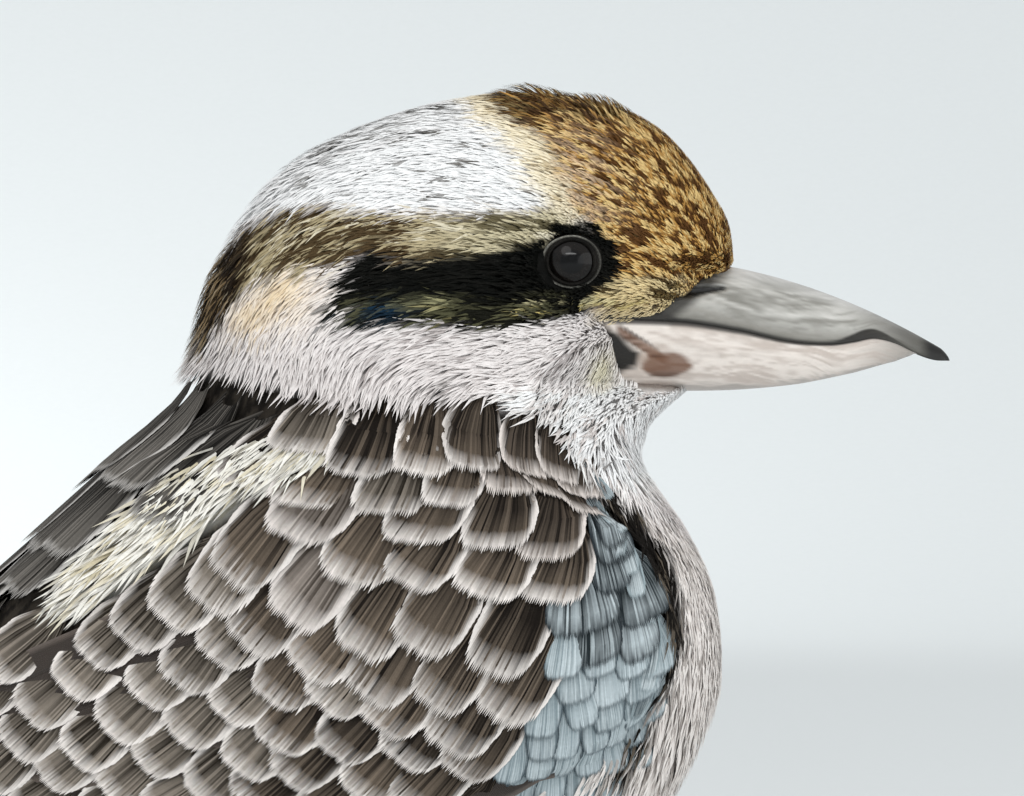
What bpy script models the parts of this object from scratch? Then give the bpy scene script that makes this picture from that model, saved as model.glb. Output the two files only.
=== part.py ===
"""Laughing kookaburra, life size, standing on level ground: the solids of a still museum model.

The bird faces +X with its left side at +Y and stands on Z = 0. The body is one loft through named
stations, from the bill over the head and neck to the tail coverts, parted by thin cuts into head, neck
and trunk. The folded wings are shells on that loft. Bill, tail, legs, toes and claws are lofts of their own.
"""

import math
from typing import NamedTuple

import bmesh
import bpy
import numpy as np
from mathutils import Matrix

MM = 0.001  # the sizes below are millimetres
GAP = 0.3  # air between neighbouring pieces

# Driving dimensions, in the bird's own frame: X forward from the feet, Z up. The ground is at Z = GROUND.
GROUND = 9.0
BILL_TIP = (154.4, 187.2)
GAPE = (75.3, 194.8)
CULMEN_BASE = (107.4, 206.1)
CHIN_FEATHERS = (86.0, 178.4)
BILL_TIP_HALF_WIDTH = 1.2
BILL_TIP_ROUNDING = 2.6
BILL_GAPE_HALF_WIDTH = 18.5
LOWER_BILL_TIP_X = 147.5
EYE_CENTRE = (71.0, 17.6, 207.0)
EYE_RADIUS = 7.6
EYE_HOLLOW = (2.0, 9.0)  # depth and spread of the hollow that the eye sits in
TAIL_ROOT = (-86.0, 72.0)
TAIL_TIP_X = -229.0
TAIL_DROOP_DEG = 15.5
TAIL_HALF_THICKNESS = (3.4, 1.1)  # at the root and at the tip
WING_FRONT, WING_TIP = 6.35, 13.3  # stations between which a folded wing lies
WING_CLEARANCE = 1.0  # between the body and the wing's inner face
HIP = (14.0, 24.0, 80.0)
ANKLE = (-6.0, 26.0, 36.5)
FOOT = (9.0, 26.5, GROUND + 3.9)
FOOT_BALL = (5.6, 4.8)  # its radius across and its radius upwards
CLAW_LENGTH = 8.5

# The frame's origin is the middle of the bounding box, on the ground.
MIDDLE_X = (BILL_TIP[0] + TAIL_TIP_X - TAIL_HALF_THICKNESS[1] * math.sin(math.radians(TAIL_DROOP_DEG))) / 2


class Station(NamedTuple):
    """A flat section of the body, given by its ends on the back line and on the belly line."""

    name: str
    back: tuple  # (x, z)
    belly: tuple  # (x, z)
    half_width: float
    waist: float  # height of the widest line, as a share of the way up from belly to back


STATIONS = (
    Station("bill base", (107.2, 206.3), (93.5, 180.0), 14.3, 0.50),
    Station("forehead", (104.3, 219.3), (91.0, 175.5), 16.6, 0.46),
    Station("brow", (88.8, 238.2), (88.7, 171.3), 19.8, 0.43),
    Station("crown", (63.0, 245.0), (87.6, 168.0), 24.6, 0.42),
    Station("hindcrown", (33.0, 240.5), (87.0, 163.6), 29.0, 0.42),
    Station("nape", (7.2, 227.2), (91.2, 156.5), 33.5, 0.43),
    Station("hindneck", (-8.0, 205.0), (97.3, 147.5), 38.5, 0.45),
    Station("shoulder", (-15.2, 181.5), (103.3, 132.5), 43.5, 0.48),
    Station("mantle", (-32.5, 163.0), (102.6, 110.0), 46.5, 0.50),
    Station("back", (-55.0, 140.0), (85.0, 79.0), 47.0, 0.50),
    Station("loin", (-76.0, 117.0), (49.0, 55.0), 43.5, 0.50),
    Station("rump", (-95.0, 95.5), (5.0, 45.0), 35.5, 0.50),
    Station("vent", (-109.0, 80.0), (-46.0, 46.5), 25.0, 0.50),
    Station("tail root", (-122.0, 70.0), (-92.0, 49.0), 19.0, 0.50),
    Station("tail coverts", (-145.0, 62.0), (-134.0, 48.0), 17.5, 0.50),
    Station("covert tips", (-163.0, 56.0), (-158.0, 47.5), 10.0, 0.50),
)
HEAD_CUT, NECK_CUT = 4.45, 6.9  # stations at which the head, the neck and the trunk part
SECTION_SQUARENESS = 2.15  # 2 is an ellipse

# Edges of the folded wing: at each station, degrees round the body from the back line.
WING_EDGES = (  # (station, upper edge, lower edge)
    (6.35, 84.0, 116.0),
    (6.7, 56.0, 133.0),
    (7.2, 38.0, 141.0),
    (7.6, 31.0, 145.0),
    (8.0, 26.0, 145.0),
    (8.5, 23.0, 137.0),
    (9.0, 21.0, 124.0),
    (10.0, 18.0, 97.0),
    (11.0, 15.0, 76.0),
    (12.0, 13.0, 60.0),
    (12.8, 15.0, 47.0),
    (13.3, 24.0, 37.0),
)
WING_SHOULDER, WING_MIDDLE, WING_END, WING_RIM = 7.4, 5.6, 3.0, 1.7  # thickness at each place

# The cutting edge of the upper bill, and the underside of the lower one.
BILL_EDGE = ((75.3, 194.8), (96.0, 194.0), (108.5, 192.0), (119.0, 189.7), (128.0, 189.1),
             (133.0, 189.7), (137.5, 190.5), (142.0, 189.5), (147.0, 187.2), (151.0, 185.8), (154.4, 185.6))
BILL_UNDERSIDE = ((75.3, 178.8), (92.0, 178.5), (107.0, 178.7), (121.0, 180.0), (133.0, 182.4),
                  (142.5, 185.0), (147.5, 186.8))
CULMEN_RISE, CULMEN_FALL = 47.9, -27.1  # the culmen's height over the tip, in powers of 1 - u

# name: (length, heading in degrees from +X towards the outside, root radius, number of pads)
TOES = {
    "inner": (18.0, -24.0, 2.9, 2),
    "middle": (27.0, -1.0, 3.1, 3),
    "outer": (23.0, 17.0, 2.8, 3),
    "hind": (14.0, 172.0, 3.0, 1),
}


def material(name, colour, roughness):
    """A plain surface of that colour."""
    made = bpy.data.materials.new(name)
    made.use_nodes = True
    shader = made.node_tree.nodes["Principled BSDF"]
    shader.inputs["Base Color"].default_value = (*colour, 1)
    shader.inputs["Roughness"].default_value = roughness
    shader.inputs["Metallic"].default_value = 0
    return made


def clear_scene():
    """Removes what a new file starts with."""
    for thing in list(bpy.data.objects):
        bpy.data.objects.remove(thing)


def through(rows, t):
    """The Catmull-Rom curve through the rows, at t counted in rows."""
    rows = np.asarray(rows, float)
    ends = np.vstack([2 * rows[0] - rows[1], rows, 2 * rows[-1] - rows[-2]])
    t = np.clip(np.asarray(t, float), 0, len(rows) - 1)
    i = np.minimum(t.astype(int), len(rows) - 2)
    f = (t - i)[..., None]
    a, b, c, d = (ends[i + k] for k in range(4))
    return 0.5 * (2 * b + (c - a) * f + (2 * a - 5 * b + 4 * c - d) * f**2 + (3 * b - a - 3 * c + d) * f**3)


def along(points, x):
    """The height at x of the smooth line through (x, z) points, which run in order of x."""
    points = np.asarray(points, float)
    rows = np.interp(x, points[:, 0], np.arange(len(points)))
    return through(points, rows)[..., 1]


def power(value, exponent):
    """A power that keeps the sign."""
    return np.sign(value) * np.abs(value) ** exponent


def body_point(t, angle):
    """Points of the body's surface: t in stations, angle in radians round from the back towards +Y.

    Each section is a superellipse whose widest line lies at the station's waist. The eye's hollow is
    a shallow bell pressed into each side of the head.
    """
    numbers = [(*s.back, *s.belly, s.half_width, s.waist) for s in STATIONS]
    bx, bz, vx, vz, width, waist = np.moveaxis(through(numbers, t), -1, 0)
    rise = power(np.cos(angle), 2 / SECTION_SQUARENESS)
    share = np.where(rise > 0, waist + (1 - waist) * rise, waist + waist * rise)
    x = vx + share * (bx - vx)
    z = vz + share * (bz - vz)
    y = width * power(np.sin(angle), 2 / SECTION_SQUARENESS)
    depth, spread = EYE_HOLLOW
    away = ((x - EYE_CENTRE[0]) ** 2 + (z - EYE_CENTRE[2]) ** 2) / (2 * spread**2)
    on_head = np.clip(5 - t, 0, 1)
    y = y - np.sign(y) * np.minimum(depth * np.exp(-away) * on_head, np.abs(y))
    return np.stack([x, y, z], axis=-1)


def body_normal(t, angle):
    """Outward unit normals of the body's surface."""
    step = 1e-3
    around = body_point(t, angle + step) - body_point(t, angle - step)
    back = body_point(t + step, angle) - body_point(t - step, angle)
    normal = np.cross(around, back)
    return normal / np.linalg.norm(normal, axis=-1, keepdims=True)


def mesh_object(name, points, faces, finish):
    """An object from points in millimetres in the bird's frame, with its faces turned outwards."""
    shifted = (np.asarray(points, float) - (MIDDLE_X, 0, GROUND)) * MM
    mesh = bpy.data.meshes.new(name)
    mesh.from_pydata([tuple(p) for p in shifted], [], faces)
    work = bmesh.new()
    work.from_mesh(mesh)
    bmesh.ops.recalc_face_normals(work, faces=work.faces)
    work.to_mesh(mesh)
    work.free()
    mesh.shade_smooth()
    mesh.set_sharp_from_angle(angle=math.radians(40))
    mesh.materials.append(finish)
    thing = bpy.data.objects.new(name, mesh)
    bpy.context.scene.collection.objects.link(thing)
    return thing


def loft(name, rings, finish):
    """A closed solid from rings of points, shaped (rings, points, 3), with a cap on each end."""
    rings = np.asarray(rings, float)
    count, sides, _ = rings.shape
    faces = [
        (i * sides + j, i * sides + (j + 1) % sides, (i + 1) * sides + (j + 1) % sides, (i + 1) * sides + j)
        for i in range(count - 1)
        for j in range(sides)
    ]
    faces.append(tuple(range(sides)))
    faces.append(tuple((count - 1) * sides + j for j in reversed(range(sides))))
    return mesh_object(name, rings.reshape(-1, 3), faces, finish)


def as_tool(thing):
    """Marks an object as a cutter, which is no piece of the bird."""
    thing.hide_render = True
    thing.display_type = "WIRE"
    return thing


def grown(thing, by=GAP):
    """A cutter of the object's own shape, moved outwards by the gap."""
    copy = bpy.data.objects.new("grown_" + thing.name, thing.data.copy())
    bpy.context.scene.collection.objects.link(copy)
    places = np.empty(len(copy.data.vertices) * 3, np.float32)
    normals = np.empty_like(places)
    copy.data.vertices.foreach_get("co", places)
    copy.data.vertex_normals.foreach_get("vector", normals)
    copy.data.vertices.foreach_set("co", places + normals * by * MM)
    return as_tool(copy)


def boolean(thing, operation, *tools):
    """Cuts the tools from the object, joins them to it, or keeps what they share, and applies it."""
    for tool in tools:
        step = thing.modifiers.new(operation.lower(), "BOOLEAN")
        step.operation = operation
        step.object = tool
    bpy.context.view_layer.update()
    made = bpy.data.meshes.new_from_object(thing.evaluated_get(bpy.context.evaluated_depsgraph_get()))
    thing.modifiers.clear()
    thing.data = made
    return thing


def body_piece(name, start, end, rings, sides, finish):
    """The body between two stations. Its flat ends stand back half the gap from the cuts."""
    t = np.linspace(start, end, rings)
    angle = np.linspace(0, 2 * math.pi, sides, endpoint=False)
    points = body_point(t[:, None], angle[None, :] + 0 * t[:, None])
    for ring, inner in ((0, 1), (-1, -2)):
        across = points[ring, sides // 4] - points[ring, 3 * sides // 4]
        up = points[ring, 0] - points[ring, sides // 2]
        normal = np.cross(across, up)
        normal /= np.linalg.norm(normal)
        inwards = np.sign((points[inner].mean(0) - points[ring].mean(0)) @ normal)
        points[ring] += normal * inwards * GAP / 2
    return loft(name, points, finish)


def bill_wedge(name, clearance):
    """The wedge in front of the feathers' edge, which opens forwards from the gape, as a prism across the head."""
    gape, culmen, chin = (np.array(p) for p in (GAPE, CULMEN_BASE, CHIN_FEATHERS))
    gape = gape + (clearance * 1.5, 0)
    above = culmen + (culmen - gape) * 1.2 + (0, -clearance)
    below = chin + (chin - gape) * 0.9 + (clearance, clearance)
    front = BILL_TIP[0] + 12
    outline = [gape, culmen + (0, -clearance), above, (front, above[1]), (front, below[1]), below]
    half = 40
    rings = [[(x, side * half, z) for x, z in outline] for side in (-1, 1)]
    return as_tool(loft(name, rings, None))


def bill_half_width(u):
    """Half the bill's width, at u from 0 at the gape to 1 at the tip."""
    spread = (1 - u) * (1 + 0.15 * u)
    return BILL_TIP_HALF_WIDTH + (BILL_GAPE_HALF_WIDTH - BILL_TIP_HALF_WIDTH) * spread


def bill_piece(name, last_x, height, narrowing, rings, sides, finish):
    """A half bill: the outline height(x) above or below the cutting edge, closed by a flat face there."""
    first = GAPE[0] - 1.5
    reach = BILL_TIP[0] - GAPE[0]
    x = first + (last_x - first) * np.sin(np.linspace(0, math.pi / 2, rings))
    half = bill_half_width(np.clip((x - GAPE[0]) / reach, 0, 1)) * narrowing
    end = np.sqrt(np.clip((last_x - x) / BILL_TIP_ROUNDING, 0.04, 1))
    half = half * end
    edge, tall = along(BILL_EDGE, x), height(x) * end
    angle = np.linspace(-math.pi / 2, math.pi / 2, sides)
    bow = 2 / 1.9
    arch = [
        np.stack([x, half * power(np.sin(a), bow), edge + tall * power(np.cos(a), bow)], axis=-1) for a in angle
    ]
    base = [np.stack([x, half * s, edge + 0 * x], axis=-1) for s in (0.5, 0.0, -0.5)]
    return loft(name, np.stack(arch + base, axis=1), finish)


def culmen_height(x):
    """How far the ridge of the upper bill stands above its cutting edge."""
    left = 1 - (x - GAPE[0]) / (BILL_TIP[0] - GAPE[0])
    return np.maximum(BILL_TIP[1] + CULMEN_RISE * left + CULMEN_FALL * left**2 - along(BILL_EDGE, x), 0.7)


def underside_depth(x):
    """How far the lower bill reaches below the cutting edge, as a negative height."""
    return np.minimum(along(BILL_UNDERSIDE, x) - along(BILL_EDGE, x), -0.6)


def make_bill(finish_upper, finish_lower):
    """Both halves of the closed bill, trimmed to the edge of the feathers."""
    upper = bill_piece("bill_upper", BILL_TIP[0], culmen_height, 1.0, 20, 13, finish_upper)
    lower = bill_piece("bill_lower", LOWER_BILL_TIP_X, underside_depth, 0.95, 15, 11, finish_lower)
    lower.data.transform(Matrix.Translation((0, 0, -GAP * MM)))
    for half in (upper, lower):
        boolean(half, "INTERSECT", bill_wedge("wedge_for_" + half.name, GAP))
    return upper, lower


def make_eye(name, side, finish):
    """An eyeball, as a ball of rings."""
    rows = np.linspace(0.12, math.pi - 0.12, 10)[:, None]
    turns = np.linspace(0, 2 * math.pi, 14, endpoint=False)[None, :]
    ball = np.stack([np.sin(rows) * np.cos(turns), np.cos(rows) + 0 * turns, np.sin(rows) * np.sin(turns)], axis=-1)
    return loft(name, ball * EYE_RADIUS + (EYE_CENTRE[0], side * EYE_CENTRE[1], EYE_CENTRE[2]), finish)


def wing_lift(a, b):
    """Thickness of the folded wing at a along it and b from its upper edge to its lower edge."""
    crown = np.interp(a, (0.0, 0.22, 0.6, 1.0), (WING_MIDDLE, WING_SHOULDER, WING_MIDDLE, WING_END))
    taper = np.clip(a / 0.06, 0, 1) ** 0.5 * np.clip((1 - a) / 0.05, 0, 1) ** 0.5
    return WING_RIM + (crown - WING_RIM) * np.sin(math.pi * b) ** 0.55 * taper


def make_wing(name, side, finish):
    """A folded wing: an outer and an inner sheet over the body's flank, joined along the rim."""
    edges = np.array(WING_EDGES)
    a = 0.5 - 0.5 * np.cos(np.linspace(0, math.pi, 22))
    t = WING_FRONT + (WING_TIP - WING_FRONT) * (0.35 * a + 0.65 * np.linspace(0, 1, 22))
    upper, lower = (np.radians(np.interp(t, edges[:, 0], edges[:, k])) for k in (1, 2))
    b = np.linspace(0, 1, 9)
    angle = upper[:, None] + (lower - upper)[:, None] * b
    t = t[:, None] + 0 * b
    base, normal = body_point(t, angle), body_normal(t, angle)
    share = (t - WING_FRONT) / (WING_TIP - WING_FRONT)
    outer = base + normal * (WING_CLEARANCE + wing_lift(share, b[None, :]))[..., None]
    inner = base + normal * WING_CLEARANCE
    ring = np.concatenate([outer, inner[:, ::-1]], axis=1)
    return loft(name, ring * (1, side, 1), finish)


def make_tail(finish):
    """The closed tail: twelve feathers' outline, a little arched across and lobed at the end."""
    droop = math.radians(TAIL_DROOP_DEG)
    length = (TAIL_ROOT[0] - TAIL_TIP_X) / math.cos(droop)
    s = np.linspace(0, 1, 12)
    half = 13 + 12.5 * np.sin(np.clip(s / 0.8, 0, 1) * math.pi / 2)
    thick = np.interp(s, (0, 1), TAIL_HALF_THICKNESS)
    across = np.linspace(-1, 1, 13)
    lobes = 0.022 * np.abs(np.sin(across * 3 * math.pi))
    end = 1 - 0.085 * across**2 - lobes + lobes.min()
    down = s[:, None] * end * length
    y = half[:, None] * across
    arch = -0.11 * y**2 / half.max()
    rings = []
    for way in (1, -1):
        z = arch + way * thick[:, None] * np.sqrt(1 - 0.8 * across**2)
        x = TAIL_ROOT[0] - down * math.cos(droop) + z * math.sin(droop)
        height = TAIL_ROOT[1] - down * math.sin(droop) + z * math.cos(droop)
        rings.append(np.stack([x, y, height], axis=-1)[:, ::way])
    return loft("tail", np.concatenate(rings, axis=1), finish)


def tube(name, path, radii, finish, sides=10, squash=(1.0, 1.0)):
    """A round bar along the path, flattened where it would sink below the ground."""
    path = np.asarray(path, float)
    ahead = np.gradient(path, axis=0)
    ahead /= np.linalg.norm(ahead, axis=1, keepdims=True)
    up = np.array([0.0, 1.0, 0.0]) if np.abs(ahead[:, 2]).max() > 0.75 else np.array([0.0, 0.0, 1.0])
    sideways = np.cross(up, ahead)
    sideways /= np.linalg.norm(sideways, axis=1, keepdims=True)
    upright = np.cross(ahead, sideways)
    angle = np.linspace(0, 2 * math.pi, sides, endpoint=False)[None, :, None]
    reach = np.asarray(radii, float)[:, None, None]
    rings = path[:, None] + reach * (
        np.cos(angle) * sideways[:, None] * squash[0] + np.sin(angle) * upright[:, None] * squash[1]
    )
    rings[..., 2] = np.maximum(rings[..., 2], GROUND)
    return loft(name, rings, finish)


def make_thigh(name, side, trunk, finish):
    """The feathered shank, which swells from the ankle and runs into the belly."""
    s = np.linspace(0, 1, 9)
    hip, ankle = np.array(HIP), np.array(ANKLE)
    path = (hip + (ankle - hip) * s[:, None]) * (1, side, 1)
    thigh = tube(name, path, 17.5 - 12.2 * s**0.8, finish, sides=14)
    return boolean(thigh, "DIFFERENCE", grown(trunk))


def make_tarsus(name, side, thigh, finish):
    """The scaly shank from the ankle's knob down to the ball of the foot, which ends in a flat sole."""
    s = np.linspace(0, 1, 7)
    ankle, foot = np.array(ANKLE), np.array(FOOT)
    path = (ankle + (foot - ankle) * (0.03 + 0.97 * s[:, None])) * (1, side, 1)
    shank = tube(name, path, 3.1 + 1.1 * (1 - s) ** 3, finish, sides=10, squash=(1.0, 0.86))
    height = np.linspace(-0.98, 0.98, 7)
    across, upwards = FOOT_BALL
    ball_path = np.stack([foot[0] + 0 * height, side * foot[1] + 0 * height, foot[2] + height * upwards], axis=-1)
    ball = tube("ball_" + name, ball_path, across * np.sqrt(1 - height**2), None, sides=12)
    boolean(shank, "UNION", as_tool(ball))
    return boolean(shank, "DIFFERENCE", grown(thigh))


def toe_way(toe, side):
    """The level direction in which a toe points."""
    turn = math.radians(TOES[toe][1])
    return np.array([math.cos(turn), side * math.sin(turn), 0.0])


def stay_apart(thing, toe, root, side):
    """Presses a toe's points back from the upright planes halfway to its neighbours."""
    places = np.empty(len(thing.data.vertices) * 3, np.float32)
    thing.data.vertices.foreach_get("co", places)
    points = places.reshape(-1, 3).astype(float) / MM + (MIDDLE_X, 0, GROUND)
    own = toe_way(toe, side)
    for other in TOES:
        apart = own - toe_way(other, side)
        if 0 < np.linalg.norm(apart) < 1:
            apart /= np.linalg.norm(apart)
            points += apart * np.maximum(GAP / 2 - (points - root) @ apart, 0)[:, None]
    thing.data.vertices.foreach_set("co", ((points - (MIDDLE_X, 0, GROUND)) * MM).astype(np.float32).ravel())


def make_toe(foot_name, toe, side, tarsus, finish_toe, finish_claw):
    """One toe with its pads, and its claw, which curves down to the ground."""
    length, _, radius, pads = TOES[toe]
    way = toe_way(toe, side)
    root = np.array([FOOT[0], side * FOOT[1], GROUND])
    s = np.linspace(0, 1, 3 * pads + 4)
    reach = radius * (1 - 0.26 * s)
    height = reach * 0.95
    bulge = 1 + 0.1 * np.cos(2 * math.pi * (pads + 0.5) * s)
    end = np.sqrt(np.clip(1.02 - np.clip((s - 0.86) / 0.2, 0, 1) ** 2, 0, 1))
    path = root + way * (3.0 + (length - 3.0) * s)[:, None] + np.array([0, 0, 1.0]) * height[:, None]
    made = tube(f"toe_{toe}_{foot_name}", path, reach * bulge * end, finish_toe, sides=9)
    stay_apart(made, toe, root, side)
    boolean(made, "DIFFERENCE", grown(tarsus))
    tip, bend = root + way * length, np.linspace(0, math.radians(72), 7)
    curve = CLAW_LENGTH / math.radians(72)
    claw_path = tip + way * (GAP * 2 + curve * np.sin(bend))[:, None]
    claw_path[:, 2] = GROUND + height[-1] + 1.4 - (height[-1] + 0.75) * (1 - np.cos(bend)) / (1 - math.cos(bend[-1]))
    claw_radii = 0.35 + 1.55 * (1 - np.linspace(0, 1, 7)) ** 0.8
    claw = tube(f"claw_{toe}_{foot_name}", claw_path, claw_radii, finish_claw, sides=7)
    boolean(claw, "DIFFERENCE", grown(made))


def main():
    """Builds the bird."""
    clear_scene()
    plumage_pale = material("pale plumage", (0.80, 0.76, 0.70), 0.85)
    plumage_dark = material("dark plumage", (0.13, 0.10, 0.08), 0.80)
    plumage_rufous = material("rufous plumage", (0.36, 0.18, 0.09), 0.80)
    horn_dark = material("dark horn", (0.16, 0.16, 0.16), 0.40)
    horn_pale = material("pale horn", (0.72, 0.62, 0.55), 0.40)
    scaly = material("scaly skin", (0.36, 0.35, 0.30), 0.60)
    claw_horn = material("claw horn", (0.10, 0.09, 0.08), 0.35)
    glossy = material("eye", (0.05, 0.03, 0.02), 0.05)

    head = body_piece("head", 0.0, HEAD_CUT, 15, 32, plumage_pale)
    body_piece("neck", HEAD_CUT, NECK_CUT, 7, 32, plumage_pale)
    trunk = body_piece("trunk", NECK_CUT, len(STATIONS) - 1, 18, 32, plumage_pale)
    make_bill(horn_dark, horn_pale)
    eyes = [make_eye("eye_" + name, side, glossy) for name, side in (("left", 1), ("right", -1))]
    boolean(head, "DIFFERENCE", bill_wedge("wedge_for_head", 0.0), *[grown(eye) for eye in eyes])
    boolean(make_tail(plumage_rufous), "DIFFERENCE", grown(trunk))
    for name, side in (("left", 1), ("right", -1)):
        make_wing("wing_" + name, side, plumage_dark)
        thigh = make_thigh("thigh_" + name, side, trunk, plumage_pale)
        tarsus = make_tarsus("tarsus_" + name, side, thigh, scaly)
        for toe in TOES:
            make_toe(name, toe, side, tarsus, scaly, claw_horn)


main()
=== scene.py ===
"""Looks of a laughing kookaburra: skin, plumage, bill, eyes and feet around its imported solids.

Lengths in the classes are millimetres in the bird's own frame: X forward, Y to its left, Z up.
Each mesh is moved to the row frame, in metres, when it is made.
"""

from __future__ import annotations

import logging
import math
from dataclasses import dataclass
from enum import Enum
from typing import Any, Callable

import bpy
import numpy as np
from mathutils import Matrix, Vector


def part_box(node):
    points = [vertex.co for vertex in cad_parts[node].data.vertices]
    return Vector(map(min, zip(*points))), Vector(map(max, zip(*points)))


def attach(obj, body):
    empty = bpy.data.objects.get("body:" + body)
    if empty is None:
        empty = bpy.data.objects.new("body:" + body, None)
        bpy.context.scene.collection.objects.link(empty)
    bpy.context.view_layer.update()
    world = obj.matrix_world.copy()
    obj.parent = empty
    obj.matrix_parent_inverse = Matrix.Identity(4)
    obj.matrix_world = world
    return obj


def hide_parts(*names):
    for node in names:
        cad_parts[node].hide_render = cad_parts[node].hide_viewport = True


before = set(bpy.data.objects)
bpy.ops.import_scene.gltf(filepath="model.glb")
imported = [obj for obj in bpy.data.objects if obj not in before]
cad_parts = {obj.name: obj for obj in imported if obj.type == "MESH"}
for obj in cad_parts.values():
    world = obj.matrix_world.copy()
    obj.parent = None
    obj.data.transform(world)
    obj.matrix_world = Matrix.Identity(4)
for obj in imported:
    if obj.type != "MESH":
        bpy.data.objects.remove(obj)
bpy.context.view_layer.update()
LOG = logging.getLogger("kookaburra")

Array = np.ndarray
Pair = tuple[Array, Array]
Triple = tuple[Array, Array, Array]
MM = 0.001
BILL_TIP_X = 154.4
MIDDLE_X = BILL_TIP_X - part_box("bill_upper")[1].x / MM  # X of the row frame's origin in the bird's frame
GROUND = 9.0  # the ground's height there

STATIONS = (  # sections from bill to tail: back x, z, belly x, z, half width, waist
    (107.2, 206.3, 97.5, 179.6, 14.3, 0.50),
    (104.3, 219.3, 92.5, 175.3, 16.6, 0.46),
    (88.8, 238.2, 88.7, 171.3, 19.8, 0.43),
    (63.0, 245.0, 87.6, 168.0, 24.6, 0.42),
    (33.0, 240.5, 87.0, 163.6, 29.0, 0.42),
    (7.2, 227.2, 91.2, 156.5, 33.5, 0.43),
    (-8.0, 205.0, 97.3, 147.5, 38.5, 0.45),
    (-15.2, 181.5, 103.3, 132.5, 43.5, 0.48),
    (-32.5, 163.0, 102.6, 110.0, 46.5, 0.50),
    (-55.0, 140.0, 85.0, 79.0, 47.0, 0.50),
    (-76.0, 117.0, 49.0, 55.0, 43.5, 0.50),
    (-95.0, 95.5, 5.0, 45.0, 35.5, 0.50),
    (-109.0, 80.0, -46.0, 46.5, 25.0, 0.50),
    (-122.0, 70.0, -92.0, 49.0, 19.0, 0.50),
    (-145.0, 62.0, -134.0, 48.0, 17.5, 0.50),
    (-163.0, 56.0, -158.0, 47.5, 10.0, 0.50),
)
WING_EDGES = (  # station, degrees round from the back to the wing's upper edge, and to its lower edge
    (6.35, 84.0, 116.0),
    (6.7, 56.0, 133.0),
    (7.2, 38.0, 141.0),
    (7.6, 31.0, 145.0),
    (8.0, 26.0, 145.0),
    (8.5, 23.0, 137.0),
    (9.0, 21.0, 124.0),
    (10.0, 18.0, 97.0),
    (11.0, 15.0, 76.0),
    (12.0, 13.0, 60.0),
    (12.8, 15.0, 47.0),
    (13.3, 24.0, 37.0),
)
EVEN_STEPS = (0.7548776662466927, 0.5698402909980532)  # powers of 1 / the plastic number
EYE = (71.0, 17.6, 207.0)
EYE_RADIUS = 7.6
GAPE = (75.3, 194.8)


class Side(Enum):
    """The bird's two sides, as the sign of Y."""

    LEFT = 1
    RIGHT = -1

    @property
    def word(self) -> str:
        """The side's name in lower case."""
        return self.name.lower()


class Slot(Enum):
    """The record's material slots."""

    PALE = "pale_plumage"
    DARK = "dark_plumage"
    RUFOUS = "rufous_plumage"
    HORN_DARK = "dark_horn"
    HORN_PALE = "pale_horn"
    SCALY = "scaly_skin"
    CLAW = "claw_horn"
    EYE = "eye"


# ---- Numbers and arrays ----


def smooth(value: Array, low: float, high: float) -> Array:
    """Rises from 0 at low to 1 at high with level ends: s * s * (3 - 2 * s)."""
    share = np.clip((np.asarray(value, float) - low) / (high - low), 0, 1)
    return share * share * (3 - 2 * share)


def fade(value: Array, low: float, high: float) -> Array:
    """Fades from 1 at low to 0 at high with level ends."""
    return smooth(-value, -high, -low)


def unit(vectors: Array) -> Array:
    """The vectors at length 1."""
    return vectors / np.maximum(np.linalg.norm(vectors, axis=-1, keepdims=True), 1e-12)


def circle(number: int) -> Array:
    """Even angles once round, from 0."""
    return np.linspace(0, 2 * math.pi, number, endpoint=False)


def power(value: Array, exponent: float) -> Array:
    """A power that keeps the sign."""
    return np.sign(value) * np.abs(value) ** exponent


def join(*parts: Array) -> Array:
    """The numbers side by side on a new last axis."""
    return np.stack(np.broadcast_arrays(*parts), axis=-1)


def through(rows: Array, t: Array) -> Array:
    """The Catmull-Rom curve through the rows.

    Args:
        rows: one row of numbers for each whole t.
        t: where to read the curve, counted in rows.

    Returns:
        The curve's numbers, with one more axis than t.
    """
    rows = np.asarray(rows, float)
    ends = np.vstack([2 * rows[0] - rows[1], rows, 2 * rows[-1] - rows[-2]])
    t = np.clip(np.asarray(t, float), 0, len(rows) - 1)
    i = np.minimum(t.astype(int), len(rows) - 2)
    f = (t - i)[..., None]
    a, b, c, d = (ends[i + k] for k in range(4))
    return 0.5 * (2 * b + (c - a) * f + (2 * a - 5 * b + 4 * c - d) * f**2 + (3 * b - a - 3 * c + d) * f**3)


def along(points: tuple, x: Array) -> Array:
    """The height at x of the smooth line through (x, z) points, which run in order of x."""
    places = np.asarray(points, float)
    return through(places, np.interp(x, places[:, 0], np.arange(len(places))))[..., 1]


def value_noise(places: Array, seed: int) -> Array:
    """Smooth noise from 0 to 1: a hashed number at each whole-number corner, eased between the corners.

    Args:
        places: points in noise cells, with the coordinates on the last axis.
        seed: another seed gives another noise.

    Returns:
        One number for each point.
    """
    cell = np.floor(places).astype(np.int64)
    part = places - cell
    part = part * part * (3 - 2 * part)
    primes = (73856093, 19349663, 83492791)
    total = np.zeros(places.shape[:-1])
    for corner in np.ndindex(*(2,) * places.shape[-1]):
        spot = sum((cell[..., k] + corner[k]) * primes[k] for k in range(places.shape[-1]))
        spot = (spot + seed * 668265263) & 0xFFFFFFFF
        spot = ((spot ^ (spot >> 15)) * 2246822519) & 0xFFFFFFFF
        spot = ((spot ^ (spot >> 13)) * 3266489917) & 0xFFFFFFFF
        weight = np.prod([part[..., k] if c else 1 - part[..., k] for k, c in enumerate(corner)], axis=0)
        total += weight * ((spot ^ (spot >> 16)) & 0xFFFF) / 0xFFFF
    return total


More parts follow.
